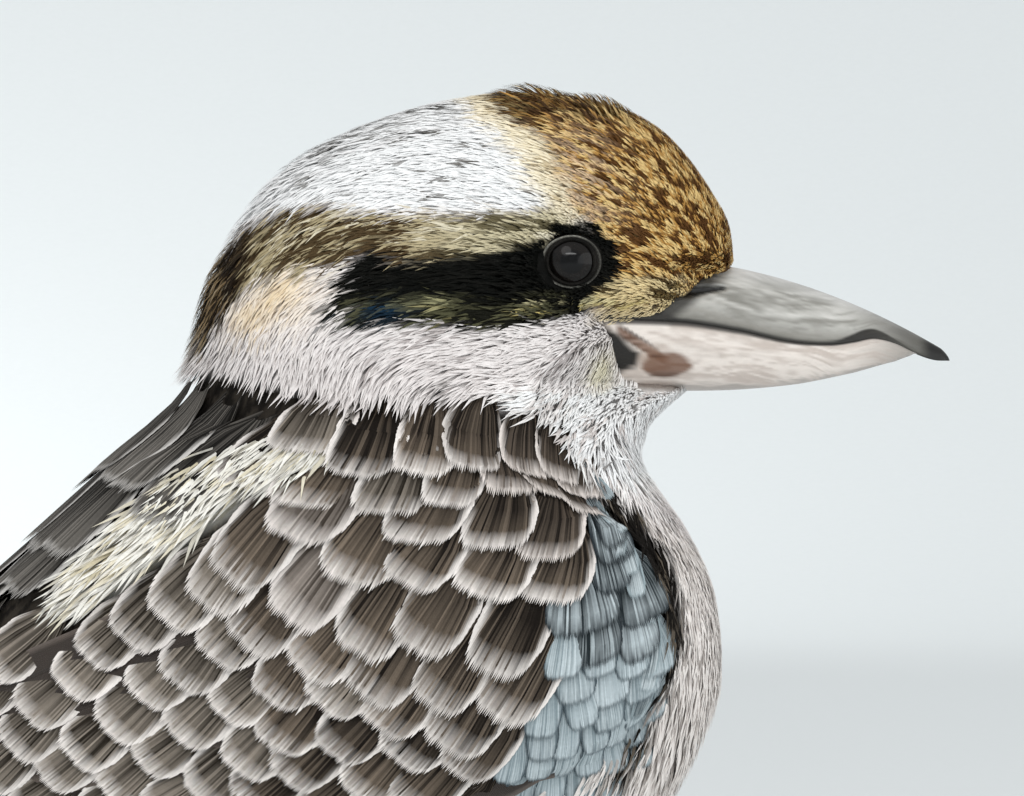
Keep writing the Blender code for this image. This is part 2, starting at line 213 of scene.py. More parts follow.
def ink(code: str) -> Array:
    """A colour written as rrggbb, turned from display values to the linear values that shaders use."""
    shown = np.array([int(code[k : k + 2], 16) for k in (0, 2, 4)]) / 255
    return np.where(shown <= 0.04045, shown / 12.92, ((shown + 0.055) / 1.055) ** 2.4)


def blend(a: Array, b: Array, share: Array) -> Array:
    """Colours a turned into colours b by the share, which has one number for each colour."""
    share = np.asarray(share, float)[..., None]
    return a * (1 - share) + b * share


def streaks(point: Array, heading: Array, seed: int, across: float, reach: float, half: int) -> Array:
    """Even noise from 0 to 1, drawn out along the feathers.

    Args:
        point, heading: places and the lie of the feathers there.
        seed: another seed gives another noise.
        across: the noise's cell in millimetres.
        reach, half: samples lie this far apart, as many each way, and their mean is spread out again.

    Returns:
        One number for each place.
    """
    total = sum(value_noise((point + heading * reach * k) / across, seed) for k in range(-half, half + 1))
    return 1 / (1 + np.exp(-1.7 * (total / (2 * half + 1) - 0.5) / 0.085))


@dataclass(frozen=True)
class Region:
    """A closed outline in side view, as (x, z) corners."""

    corners: tuple

    def depth(self, x: Array, z: Array) -> Array:
        """Millimetres to the outline, negative inside it, where a level line crosses it oddly often.

        Args:
            x, z: places in side view.

        Returns:
            The distances.
        """
        spots = join(x, z)
        near, inside = np.full(x.shape, 1e9), np.zeros(x.shape, bool)
        for a, b in zip(self.corners, self.corners[1:] + self.corners[:1]):
            start, way = np.array(a), np.subtract(b, a)
            share = np.clip((spots - start) @ way / (way @ way), 0, 1)
            near = np.minimum(near, np.linalg.norm(spots - start - share[..., None] * way, axis=-1))
            slope = way[0] / (way[1] or 1e-9)
            inside ^= ((a[1] > z) != (b[1] > z)) & (x < start[0] + (z - start[1]) * slope)
        return np.where(inside, -near, near)

    def inside(self, x: Array, z: Array, ease: float = 0.8) -> Array:
        """1 inside and 0 outside, eased across the outline."""
        return smooth(-self.depth(x, z), -ease, ease)


# ---- The bird's form ----


@dataclass(frozen=True)
class Chart:
    """Places on the body's surface, with what is needed to move about on it.

    Attributes:
        t, angle: station and radians round from the back, positive on the left side.
        point, normal: the place and its outward normal.
        back, around: the surface's derivatives by t and by angle.
    """

    t: Array
    angle: Array
    point: Array
    normal: Array
    back: Array
    around: Array

    @property
    def side_view(self) -> Pair:
        """The places' x and z."""
        return self.point[..., 0], self.point[..., 2]

    def step(self, heading: Array) -> Pair:
        """Changes of t and angle for a millimetre along each heading, from the surface's metric.

        Args:
            heading: directions along the surface.

        Returns:
            The change of t and the change of angle.
        """
        a, b = self.back, self.around
        pairs = (a, a), (a, b), (b, b), (heading, a), (heading, b)
        aa, ab, bb, fa, fb = ((p * q).sum(-1) for p, q in pairs)
        area = np.maximum(aa * bb - ab * ab, 1e-9)
        return (bb * fa - ab * fb) / area, (aa * fb - ab * fa) / area


@dataclass(frozen=True)
class Body:
    """The outline of the plumage, as flat sections that turn from the bill over the head to the tail."""

    stations: tuple = STATIONS
    squareness: float = 2.15
    eye_hollow: float = 2.0
    hollow_spread: float = 9.0

    @property
    def last(self) -> float:
        """The last station's number."""
        return len(self.stations) - 1

    def point(self, t: Array, angle: Array) -> Array:
        """Points of the surface: a superellipse between back and belly at each t, hollowed round the eyes.

        Args:
            t, angle: stations, and radians round from the back.

        Returns:
            The points.
        """
        bx, bz, vx, vz, width, waist = np.moveaxis(through(self.stations, t), -1, 0)
        rise = power(np.cos(angle), 2 / self.squareness)
        share = np.where(rise > 0, waist + (1 - waist) * rise, waist + waist * rise)
        x, z = vx + share * (bx - vx), vz + share * (bz - vz)
        y = width * power(np.sin(angle), 2 / self.squareness)
        away = ((x - EYE[0]) ** 2 + (z - EYE[2]) ** 2) / (2 * self.hollow_spread**2)
        hollow = self.eye_hollow * np.exp(-away) * np.clip(5 - t, 0, 1)
        y = y - np.sign(y) * np.minimum(hollow, np.abs(y))
        near = (x > 64) & (z > 164) & (z < 216)
        y[near] = np.sign(y[near]) * self.beside_bill(x[near], np.abs(y[near]), z[near])
        return join(x, y, z)

    @staticmethod
    def beside_bill(x: Array, y: Array, z: Array) -> Array:
        """Half widths, eased to at most the bill's there + 1.3 + 1.15 * the distance to the bare bill.

        Args:
            x, y, z: places on the section's side.

        Returns:
            The half widths.
        """
        bill = Bill()
        level = np.clip(z, along(bill.underside, x) + 2.0, bill.ridge(x) - 2.5)
        limit = bill.reach_at(x, level) + 1.3 + 1.15 * BARE_BILL.depth(x, z)
        return np.maximum(-np.logaddexp(-limit, -y), np.minimum(y, 0.3))

    def chart(self, t: Array, angle: Array) -> Chart:
        """The surface's points, normals and derivatives, by small steps to each side.

        Args:
            t, angle: where.

        Returns:
            The chart.
        """
        t, angle = np.clip(t, 0.01, self.last - 0.01), np.asarray(angle, float)
        small = 2e-3
        back = (self.point(t + small, angle) - self.point(t - small, angle)) / (2 * small)
        around = (self.point(t, angle + small) - self.point(t, angle - small)) / (2 * small)
        return Chart(t, angle, self.point(t, angle), unit(np.cross(around, back)), back, around)

    def locate(self, x: Array, z: Array) -> Pair:
        """Finds points of the left side: t is halved in on, then the section's formula is undone.

        Args:
            x, z: places in side view.

        Returns:
            Stations, and angles from 0 to pi.
        """
        low, high = np.zeros(x.shape), np.full(x.shape, float(self.last))
        for _ in range(18):
            t = (low + high) / 2
            bx, bz, vx, vz = np.moveaxis(through(self.stations, t), -1, 0)[:4]
            ahead = (x - vx) * (bz - vz) < (z - vz) * (bx - vx)
            low, high = np.where(ahead, t, low), np.where(ahead, high, t)
        bx, bz, vx, vz, _, waist = np.moveaxis(through(self.stations, t), -1, 0)
        share = ((x - vx) * (bx - vx) + (z - vz) * (bz - vz)) / ((bx - vx) ** 2 + (bz - vz) ** 2)
        rise = (share - waist) / np.where(share > waist, 1 - waist, waist)
        return t, np.arccos(power(np.clip(rise, -1, 1), self.squareness / 2))


@dataclass(frozen=True)
class Wing:
    """The folded wing's relief over the body, and the skin that carries the plumage."""

    edges: tuple = WING_EDGES
    clearance: float = 1.0
    shoulder: float = 7.4
    middle: float = 5.6
    end: float = 3.0
    rim: float = 1.7
    plumage: float = 3.6  # feathers over the wing's skin
    front_line: tuple = (
        (0.3, 0.9, 1.17, 1.47, 1.68, 1.94, 2.10, 2.14, 2.31, 2.39, 2.46),
        (6.9, 6.68, 6.58, 6.12, 5.6, 5.42, 5.72, 5.83, 6.76, 7.25, 8.1),
    )
    patch_line: tuple = (
        (6.88, 7.08, 7.45, 7.96, 8.22, 8.52, 8.9),
        (1.12, 1.03, 0.91, 0.87, 0.82, 0.79, 0.80),
    )
    patch_half: tuple = ((6.7, 7.2, 8.2, 9.0), (0.07, 0.12, 0.13, 0.07))

    def across(self, t: Array, angle: Array) -> Pair:
        """Degrees below the wing's upper edge, and degrees above its lower edge.

        Args:
            t, angle: where.

        Returns:
            Both numbers.
        """
        rows = np.array(self.edges)
        round_ = np.degrees(np.abs(angle))
        return round_ - np.interp(t, rows[:, 0], rows[:, 1]), np.interp(t, rows[:, 0], rows[:, 2]) - round_

    def front(self, angle: Array) -> Array:
        """The station at which the firm feathers begin, furthest forward on the neck's side."""
        return np.interp(np.abs(angle), *self.front_line)

    def buff_patch(self, t: Array, angle: Array) -> Array:
        """1 on the loose pale feathers between mantle and scapulars.

        Args:
            t, angle: where.

        Returns:
            Shares from 0 to 1.
        """
        off = np.abs(np.abs(angle) - np.interp(t, *self.patch_line))
        across = smooth(np.interp(t, *self.patch_half) - off, -0.03, 0.03)
        return across * smooth(t, 6.7, 6.95) * fade(t, 8.7, 9.0)

    def firm(self, t: Array, angle: Array) -> Array:
        """Whether firm feathers grow there: on mantle and wing, but not in the loose patch between them.

        Args:
            t, angle: where.

        Returns:
            True or false for each place.
        """
        upper, lower = self.across(t, angle)
        inside = (t > self.front(angle) - 0.32) & ((lower > 0.5) | (t < 6.9)) & (t < 13.2)
        return inside & ((upper > 4) | (t < 10.2)) & (self.buff_patch(t, angle) < 0.5)

    def cover(self, t: Array, angle: Array) -> Array:
        """1 on the wing, easing to 0 past its edges.

        Args:
            t, angle: where.

        Returns:
            Shares from 0 to 1.
        """
        upper, lower = self.across(t, angle)
        ends = smooth(t, self.edges[0][0] - 0.1, self.edges[0][0] + 0.35) * fade(t, 13.0, 13.5)
        return smooth(upper, -3, 8) * smooth(lower, -2, 5) * ends

    def top(self, t: Array, angle: Array) -> Array:
        """Height of the finished wing over the body: a sine from edge to edge, thickest at the shoulder.

        Args:
            t, angle: where.

        Returns:
            Millimetres.
        """
        upper, lower = self.across(t, angle)
        first, last = self.edges[0][0], self.edges[-1][0]
        a = np.clip((t - first) / (last - first), 0, 1)
        crown = np.interp(a, (0.0, 0.22, 0.6, 1.0), (self.middle, self.shoulder, self.middle, self.end))
        taper = np.clip(a / 0.06, 0, 1) ** 0.5 * np.clip((1 - a) / 0.05, 0, 1) ** 0.5
        b = np.clip(upper / np.maximum(upper + lower, 1e-6), 0, 1)
        lift = self.rim + (crown - self.rim) * np.sin(math.pi * b) ** 0.55 * taper
        return self.cover(t, angle) * (self.clearance + lift)

    def skin(self, t: Array, angle: Array) -> Array:
        """Height of the skin over the body's outline, which is the coat's tips: negative off the wing."""
        depth = np.interp(t, (0, 1, 3, 5, 7, 12, 15), (1.1, 1.4, 2.0, 2.8, 3.8, 3.4, 1.6))
        return -depth + self.cover(t, angle) * np.maximum(self.top(t, angle) - self.plumage + depth, 0)


@dataclass(frozen=True)
class Lie:
    """The lie of the head's feathers: degrees below level at marked places in side view."""

    marks: tuple = (
        (105, 210, -58), (101, 222, -50), (93, 233, -40), (80, 241, -24), (63, 245, -10), (45, 243, 2),
        (25, 236, 16), (8, 226, 36), (-4, 212, 56), (-9, 200, 66), (-13, 188, 70), (88, 218, -34),
        (80, 226, -26), (70, 224, -14), (60, 218, -5), (45, 220, 2), (25, 218, 13), (12, 212, 28),
        (100, 206, -30), (94, 203, -16), (84, 204, -10), (71, 216, -8), (71, 198, 4), (50, 203, 4),
        (32, 203, 8), (20, 201, 18), (6, 200, 40), (78, 188, 26), (60, 186, 17), (45, 184, 16),
        (28, 184, 22), (12, 186, 36), (0, 182, 52), (82, 177, 46), (65, 172, 34), (45, 172, 30),
        (25, 172, 38), (8, 172, 52), (-8, 178, 62), (89, 170, 78), (86, 160, 84), (70, 160, 66),
        (50, 160, 58),
    )
    spread: float = 9.0

    def heading(self, chart: Chart) -> Array:
        """Directions along the surface: the marks' by nearness, and the stations' own from the neck back.

        Args:
            chart: where.

        Returns:
            Unit vectors square to the normals.
        """
        x, z = chart.side_view
        way = np.zeros((*x.shape, 3))
        total = np.full(x.shape, 1e-9)
        for mark_x, mark_z, slope in self.marks:
            slope = math.radians(slope)
            near = np.exp(-((x - mark_x) ** 2 + (z - mark_z) ** 2) / (2 * self.spread**2)) + 1e-7
            way += near[..., None] * np.array([-math.cos(slope), 0.0, -math.sin(slope)])
            total += near
        head = fade(chart.t, 5.4, 6.6)[..., None]
        way = unit(chart.back) * (1 - head) + way / total[..., None] * head
        return unit(way - chart.normal * (way * chart.normal).sum(-1, keepdims=True))


BODY, WING, LIE = Body(), Wing(), Lie()
BARE_BILL = Region(  # where no feathers cover the bill
    (
        (76.2, 195.2), (89.0, 195.6), (91.8, 196.9), (96.0, 200.0), (99.9, 203.2), (104.9, 205.4),
        (107.4, 206.4), (170.0, 206.4), (170.0, 178.8), (99.5, 178.8), (92.0, 179.0), (86.0, 179.2),
        (82.0, 181.6), (80.4, 186.0), (79.8, 190.0), (77.6, 193.8),
    )
)


# ---- Shaders ----


class Wire:
    """A socket's value in a shader, which takes arithmetic with numbers and other values."""

    def __init__(self, shader: Shader, socket: Any) -> None:
        """Keeps the shader that the socket belongs to."""
        self.shader = shader
        self.socket = socket

    def math(self, operation: str, *others: Any) -> Wire:
        """A Math node of this value and others."""
        return self.shader.math(operation, self, *others)

    def __add__(self, other: Any) -> Wire:
        """This value plus another."""
        return self.math("ADD", other)

    def __sub__(self, other: Any) -> Wire:
        """This value minus another."""
        return self.math("SUBTRACT", other)

    def __mul__(self, other: Any) -> Wire:
        """This value times another."""
        return self.math("MULTIPLY", other)

    def __rsub__(self, other: Any) -> Wire:
        """A number minus this value."""
        return self.shader.math("SUBTRACT", other, self)

    __radd__ = __add__
    __rmul__ = __mul__


class Shader:
    """A material's node tree around one Principled shader."""

    def __init__(self, name: str, **constants: float) -> None:
        """Starts the material, with the Principled sockets that are the same all over.

        Args:
            name: the material's name.
            constants: each socket's value by its name.
        """
        self.material = bpy.data.materials.new(name)
        self.material.use_nodes = True
        self.tree = self.material.node_tree
        self.principled = self.tree.nodes["Principled BSDF"]
        for word, value in constants.items():
            socket = word.replace("_", " ").title().replace("Ior", "IOR")
            self.principled.inputs[socket].default_value = value

    def node(self, kind: str, settings: dict | None = None, values: dict | None = None) -> Any:
        """A node of any other kind.

        Args:
            kind: the node's type, without ShaderNode.
            settings: the node's own properties, which are set first.
            values: numbers, colours or wires, by socket name or number.

        Returns:
            The node.
        """
        made = self.tree.nodes.new("ShaderNode" + kind)
        for name, value in (settings or {}).items():
            setattr(made, name, value)
        for key, value in (values or {}).items():
            self.feed(made.inputs[key], value)
        return made

    def feed(self, socket: Any, value: Any) -> None:
        """Gives a socket a number, a colour or a wire.

        Args:
            socket: the input.
            value: what it gets.
        """
        if isinstance(value, Wire):
            self.tree.links.new(value.socket, socket)
        elif isinstance(value, np.ndarray) and socket.type == "RGBA":
            socket.default_value = (*value, 1.0)
        else:
            socket.default_value = value

    def wire(self, made: Any, output: Any = 0) -> Wire:
        """One output of a node."""
        return Wire(self, made.outputs[output])

    def math(self, operation: str, *values: Any) -> Wire:
        """A Math node."""
        return self.wire(self.node("Math", {"operation": operation}, dict(enumerate(values))))

    def mix(self, share: Any, a: Any, b: Any) -> Wire:
        """Colour a turned into colour b by the share."""
        settings = {"data_type": "RGBA", "clamp_factor": True}
        return self.wire(self.node("Mix", settings, {0: share, 6: a, 7: b}), 2)

    def shade(self, colour: Any, amount: Any) -> Wire:
        """A colour made darker or lighter by an amount around 1."""
        settings = {"operation": "SCALE"}
        return self.wire(self.node("VectorMath", settings, {0: colour, "Scale": amount}))

    def attribute(self, name: str, output: str = "Vector") -> Wire:
        """A mesh attribute."""
        return self.wire(self.node("Attribute", {"attribute_name": name}), output)

    def parts(self, vector: Any) -> tuple[Wire, Wire, Wire]:
        """A vector's three numbers."""
        made = self.node("SeparateXYZ", None, {0: vector})
        return self.wire(made, 0), self.wire(made, 1), self.wire(made, 2)

    def place(self, scale: tuple[float, float, float] = (1, 1, 1)) -> Wire:
        """Object coordinates, stretched by the scale."""
        spot = self.wire(self.node("TexCoord"), "Object")
        return self.wire(self.node("Mapping", None, {"Vector": spot, "Scale": scale}))

    def noise(self, where: Wire, scale: float, detail: float = 2.0, rough: float = 0.5) -> Wire:
        """Noise around 0.5."""
        values = {"Vector": where, "Scale": scale, "Detail": detail, "Roughness": rough}
        return self.wire(self.node("TexNoise", None, values), 0)

    def ramp(self, value: Wire, low: float, high: float) -> Wire:
        """Rises smoothly from 0 to 1 as the value goes from low to high.

        Args:
            value: a wire.
            low, high: its ends.

        Returns:
            Shares from 0 to 1.
        """
        settings = {"interpolation_type": "SMOOTHSTEP"}
        made = self.node("MapRange", settings, {"Value": value, "From Min": low, "From Max": high})
        return self.wire(made)

    def finish(self, colour: Any, roughness: Any, height: Wire | None = None, depth: float = 0.0) -> Any:
        """Feeds the shader and returns the material.

        Args:
            colour: the base colour.
            roughness: a number or a wire.
            height: a bump map, if there is one.
            depth: metres from the bump's lowest to its highest point.

        Returns:
            The material.
        """
        self.feed(self.principled.inputs["Base Color"], colour)
        self.feed(self.principled.inputs["Roughness"], roughness)
        if height is not None:
            bump = self.node("Bump", None, {"Strength": 1.0, "Distance": depth, "Height": height})
            self.tree.links.new(bump.outputs[0], self.principled.inputs["Normal"])
        return self.material


@dataclass(frozen=True)
class PlumeFinish:
    """Soft feathers: the tint that each feather carries, broken up by fine barbs."""

    name: str = "soft plumage"
    roughness: float = 0.75
    variety: float = 0.35
    barb_scale: float = 1400.0

    def material(self) -> Any:
        """Builds the material.

        Returns:
            The material.
        """
        shader = Shader(self.name, specular_ior_level=0.09)
        barbs = shader.noise(shader.place(), self.barb_scale, 3.0, 0.65)
        amount = 1 + (barbs - 0.5) * self.variety
        colour = shader.shade(shader.attribute("tint", "Color"), amount)
        return shader.finish(colour, self.roughness - (barbs - 0.5) * 0.2, barbs, 0.00008)


@dataclass(frozen=True)
class QuillFinish:
    """Firm feathers: fine slanted barbs either side of the shaft, with bars where the feather has them."""

    name: str
    bar_length: float = 0.0  # millimetres from bar to bar, 0 for none
    bar_share: float = 0.45
    bar_tone: str = "1b1613"
    roughness: float = 0.55
    barb_gap: float = 0.55

    def material(self) -> Any:
        """Builds the material: sines of the distance along a barb's slant, and of the distance to a bar.

        Returns:
            The material.
        """
        shader = Shader(self.name, sheen_weight=0.08, specular_ior_level=0.35)
        down, across, luck = shader.parts(shader.attribute("vane"))
        out = across.math("ABSOLUTE")
        wander = shader.noise(shader.place(), 260.0, 3.0)
        slant = down - out * 7.0 + wander * 1.2
        barbs = (slant * (2 * math.pi / self.barb_gap)).math("SINE")
        colour = shader.shade(shader.attribute("tint", "Color"), 1 + barbs * 0.06 + (wander - 0.5) * 0.35)
        if self.bar_length:
            run = down + out * 2.2 + wander * 3.0 + luck * 3.0
            wave = (run * (2 * math.pi / self.bar_length)).math("SINE")
            limit = math.cos(math.pi * self.bar_share)
            bar = shader.ramp(wave, limit - 0.25, limit + 0.15) * shader.attribute("barred", "Fac")
            colour = shader.mix(bar, colour, ink(self.bar_tone))
        shaft = shader.ramp(out, 0.07, 0.035)
        colour = shader.mix(shaft * 0.55, colour, ink("2a221d"))
        return shader.finish(colour, self.roughness + (wander - 0.5) * 0.2, barbs + shaft * 3.0, 0.00005)


@dataclass(frozen=True)
class SkinFinish:
    """Skin with the roots of feathers: the markings' tint under fine pimples."""

    name: str = "feathered skin"

    def material(self) -> Any:
        """Builds the material.

        Returns:
            The material.
        """
        shader = Shader(self.name, specular_ior_level=0.2)
        fine = shader.noise(shader.place(), 900.0, 3.0, 0.6)
        colour = shader.shade(shader.attribute("tint", "Color"), 0.84 + fine * 0.24)
        return shader.finish(colour, 0.9, fine, 0.0003)


@dataclass(frozen=True)
class HornFinish:
    """The bill's horn: the tint that the bill's own marks give, under fine streaks along it."""

    name: str

    def material(self) -> Any:
        """Builds the material.

        Returns:
            The material.
        """
        shader = Shader(self.name, coat_weight=0.10, coat_roughness=0.3, specular_ior_level=0.4)
        streaks_ = shader.noise(shader.place((0.14, 1.0, 1.0)), 520.0, 5.0, 0.65)
        pits = shader.noise(shader.place((0.5, 1.0, 1.0)), 1500.0, 2.0)
        colour = shader.shade(shader.attribute("tint", "Color"), 0.86 + streaks_ * 0.16 + pits * 0.12)
        return shader.finish(colour, 0.38 + (streaks_ - 0.5) * 0.3, streaks_ + pits * 0.35, 0.00018)


@dataclass(frozen=True)
class EyeFinish:
    """A wet dark eye. The iris attribute's first number is the angle from the eye's axis, in degrees."""

    name: str = "eye"
    pupil: float = 19.0
    iris: float = 40.0

    def material(self) -> Any:
        """Builds the material: pupil, streaked dark iris, and a black rim that runs on under the lids.

        Returns:
            The material.
        """
        wet = {"coat_weight": 0.45, "coat_roughness": 0.06, "coat_ior": 1.42}
        shader = Shader(self.name, specular_ior_level=0.05, **wet)
        off = shader.parts(shader.attribute("iris"))[0]
        fibres = shader.noise(shader.attribute("iris"), 1.3, 4.0, 0.7)
        brown = shader.mix(shader.ramp(fibres, 0.35, 0.7), ink("0a0908"), ink("1b1613"))
        colour = shader.mix(shader.ramp(off, self.pupil - 2.0, self.pupil + 2.5), ink("050506"), brown)
        colour = shader.mix(shader.ramp(off, self.iris - 12.0, self.iris - 2.0), colour, ink("080706"))
        return shader.finish(colour, 0.12)


@dataclass(frozen=True)
class HideFinish:
    """Bare skin, as on eyelids, shanks and toes: two tones broken up by scales and creases."""

    name: str
    body: str
    light: str
    scale: float = 900.0
    roughness: float = 0.55
    depth: float = 0.00018
    rim: str = ""  # the tone where the rim attribute is 1
    gloss: float = 0.4

    def material(self) -> Any:
        """Builds the material.

        Returns:
            The material.
        """
        shader = Shader(self.name, specular_ior_level=self.gloss)
        values = {"Vector": shader.place(), "Scale": self.scale}
        cells = shader.node("TexVoronoi", {"feature": "DISTANCE_TO_EDGE"}, values)
        seam = shader.ramp(shader.wire(cells), 0.0, 0.16)
        cloud = shader.noise(shader.place(), self.scale * 0.2, 3.0)
        colour = shader.mix(shader.ramp(cloud, 0.35, 0.65), ink(self.body), ink(self.light))
        if self.rim:
            colour = shader.mix(shader.attribute("rim", "Fac"), colour, ink(self.rim))
        colour = shader.shade(colour, 0.72 + seam * 0.28)
        return shader.finish(colour, self.roughness, seam + cloud * 0.4, self.depth)


@dataclass(frozen=True)
class ClawFinish:
    """Black horn with fine lengthwise lines."""

    name: str = "claw horn"

    def material(self) -> Any:
        """Builds the material.

        Returns:
            The material.
        """
        shader = Shader(self.name, coat_weight=0.2, coat_roughness=0.25, specular_ior_level=0.5)
        lines = shader.noise(shader.place((0.3, 1.0, 1.0)), 1200.0, 3.0)
        colour = shader.mix(lines, ink("171412"), ink("3c3630"))
        return shader.finish(colour, 0.35 + lines * 0.1, lines, 0.00005)


@dataclass(frozen=True)
class PaperFinish:
    """The pale floor."""

    name: str = "pale floor"
    tone: str = "eef2f3"

    def material(self) -> Any:
        """Builds the material.

        Returns:
            The material.
        """
        shader = Shader(self.name, specular_ior_level=0.1)
        grain = shader.noise(shader.place(), 160.0, 3.0)
        return shader.finish(shader.shade(ink(self.tone), 0.985 + grain * 0.03), 0.9)


# ---- Meshes ----


def put(name: str, data: Any) -> bpy.types.Object:
    """A new object in the scene.

    Args:
        name: the object's name.
        data: its mesh, light or camera.

    Returns:
        The object.
    """
    made = bpy.data.objects.new(name, data)
    bpy.context.scene.collection.objects.link(made)
    return made


@dataclass
class Pieces:
    """Makes the finished pieces and keeps count of them."""

    triangles: int = 0

    def make(
        self, name: str, points: Array, faces: Array, material: Any, slot: Slot, replaces: tuple = (),
        attributes: dict[str, Array] | None = None, uv: Array | None = None, shade_smooth: bool = True,
    ) -> None:
        """One piece from whole arrays.

        Args:
            name: the piece's name.
            points: vertices in the bird's frame, in millimetres.
            faces: vertex numbers, three or four to a face.
            material, slot: its finish, and the record's slot.
            replaces: the CAD nodes that it stands for.
            attributes: per-vertex numbers, vectors or tints.
            uv: per-vertex places on the OFBake map.
            shade_smooth: whether its faces blend into each other.
        """
        mesh = bpy.data.meshes.new(name)
        mesh.vertices.add(len(points))
        mesh.loops.add(faces.size)
        mesh.polygons.add(len(faces))
        self.fill(mesh.vertices, "co", (points - (MIDDLE_X, 0, GROUND)) * MM)
        self.fill(mesh.loops, "vertex_index", faces, np.int32)
        self.fill(mesh.polygons, "loop_start", np.arange(0, faces.size, faces.shape[1]), np.int32)
        mesh.update(calc_edges=True)
        self.fill(mesh.polygons, "use_smooth", np.full(len(faces), shade_smooth), bool)
        for key, values in (attributes or {}).items():
            self.dress(mesh, key, values)
        if uv is not None:
            self.fill(mesh.uv_layers.new(name="OFBake").data, "uv", uv[faces.ravel()])
        mesh.materials.append(material)
        self.settle(put(name, mesh), slot, replaces)

    @staticmethod
    def fill(data: Any, key: str, values: Array, kind: type = np.float32) -> None:
        """Copies a whole array into a mesh."""
        data.foreach_set(key, values.astype(kind).ravel())

    def dress(self, mesh: bpy.types.Mesh, key: str, values: Array) -> None:
        """Stores one attribute.

        Args:
            mesh: the piece's mesh.
            key: its name.
            values: numbers, vectors, or for a tint colours, which get a fourth number of 1.
        """
        kind, slot = ("FLOAT", "value") if values.ndim == 1 else ("FLOAT_VECTOR", "vector")
        if key == "tint":
            kind, slot = "FLOAT_COLOR", "color"
            values = np.pad(values, ((0, 0), (0, 1)), constant_values=1.0)
        self.fill(mesh.attributes.new(key, kind, "POINT").data, slot, values)

    def settle(self, piece: bpy.types.Object, slot: Slot, replaces: tuple) -> None:
        """Lets a piece ride, hides the CAD nodes that it stands for, and reports it.

        Args:
            piece: the object.
            slot: the record's slot; not used.
            replaces: the CAD nodes that it stands for.
        """
        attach(piece, "root")
        if replaces:
            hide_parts(*replaces)
        count = len(piece.data.loops) - 2 * len(piece.data.polygons)
        self.triangles += count
        LOG.info("%s: %d triangles", piece.name, count)


def ring_faces(rings: int, sides: int, closed: bool = False) -> Array:
    """Four-sided faces between neighbouring rings of points.

    Args:
        rings, sides: number of rings, and of points in each.
        closed: whether the last ring joins the first.

    Returns:
        Vertex numbers, whose turn follows the rings' own turn.
    """
    i, j = np.meshgrid(np.arange(rings if closed else rings - 1), np.arange(sides), indexing="ij")
    here, there, after = i * sides, (i + 1) % rings * sides, (j + 1) % sides
    return join(here + j, here + after, there + after, there + j).reshape(-1, 4)


def halved(faces: Array) -> Array:
    """Each four-sided face as two triangles."""
    return np.concatenate([faces[:, :3], faces[:, (0, 2, 3)]])


def loft_faces(rings: int, sides: int) -> Array:
    """Triangles of a tube of rings with fans over its two ends.

    Args:
        rings, sides: number of rings, and of points in each.

    Returns:
        Vertex numbers, three to a face.
    """
    k = np.arange(1, sides - 1)
    far = join(0, k, k + 1) + (rings - 1) * sides
    return np.concatenate([halved(ring_faces(rings, sides)), join(0, k + 1, k), far])


def outward(points: Array, faces: Array) -> Array:
    """The faces, turned over if the closed shape that they make is inside out.

    Args:
        points, faces: a closed shape.

    Returns:
        The faces.
    """
    a, b, c = (points[faces[:, k]] for k in range(3))
    volume = (a * np.cross(b, c)).sum()
    return faces if volume > 0 else faces[:, ::-1]


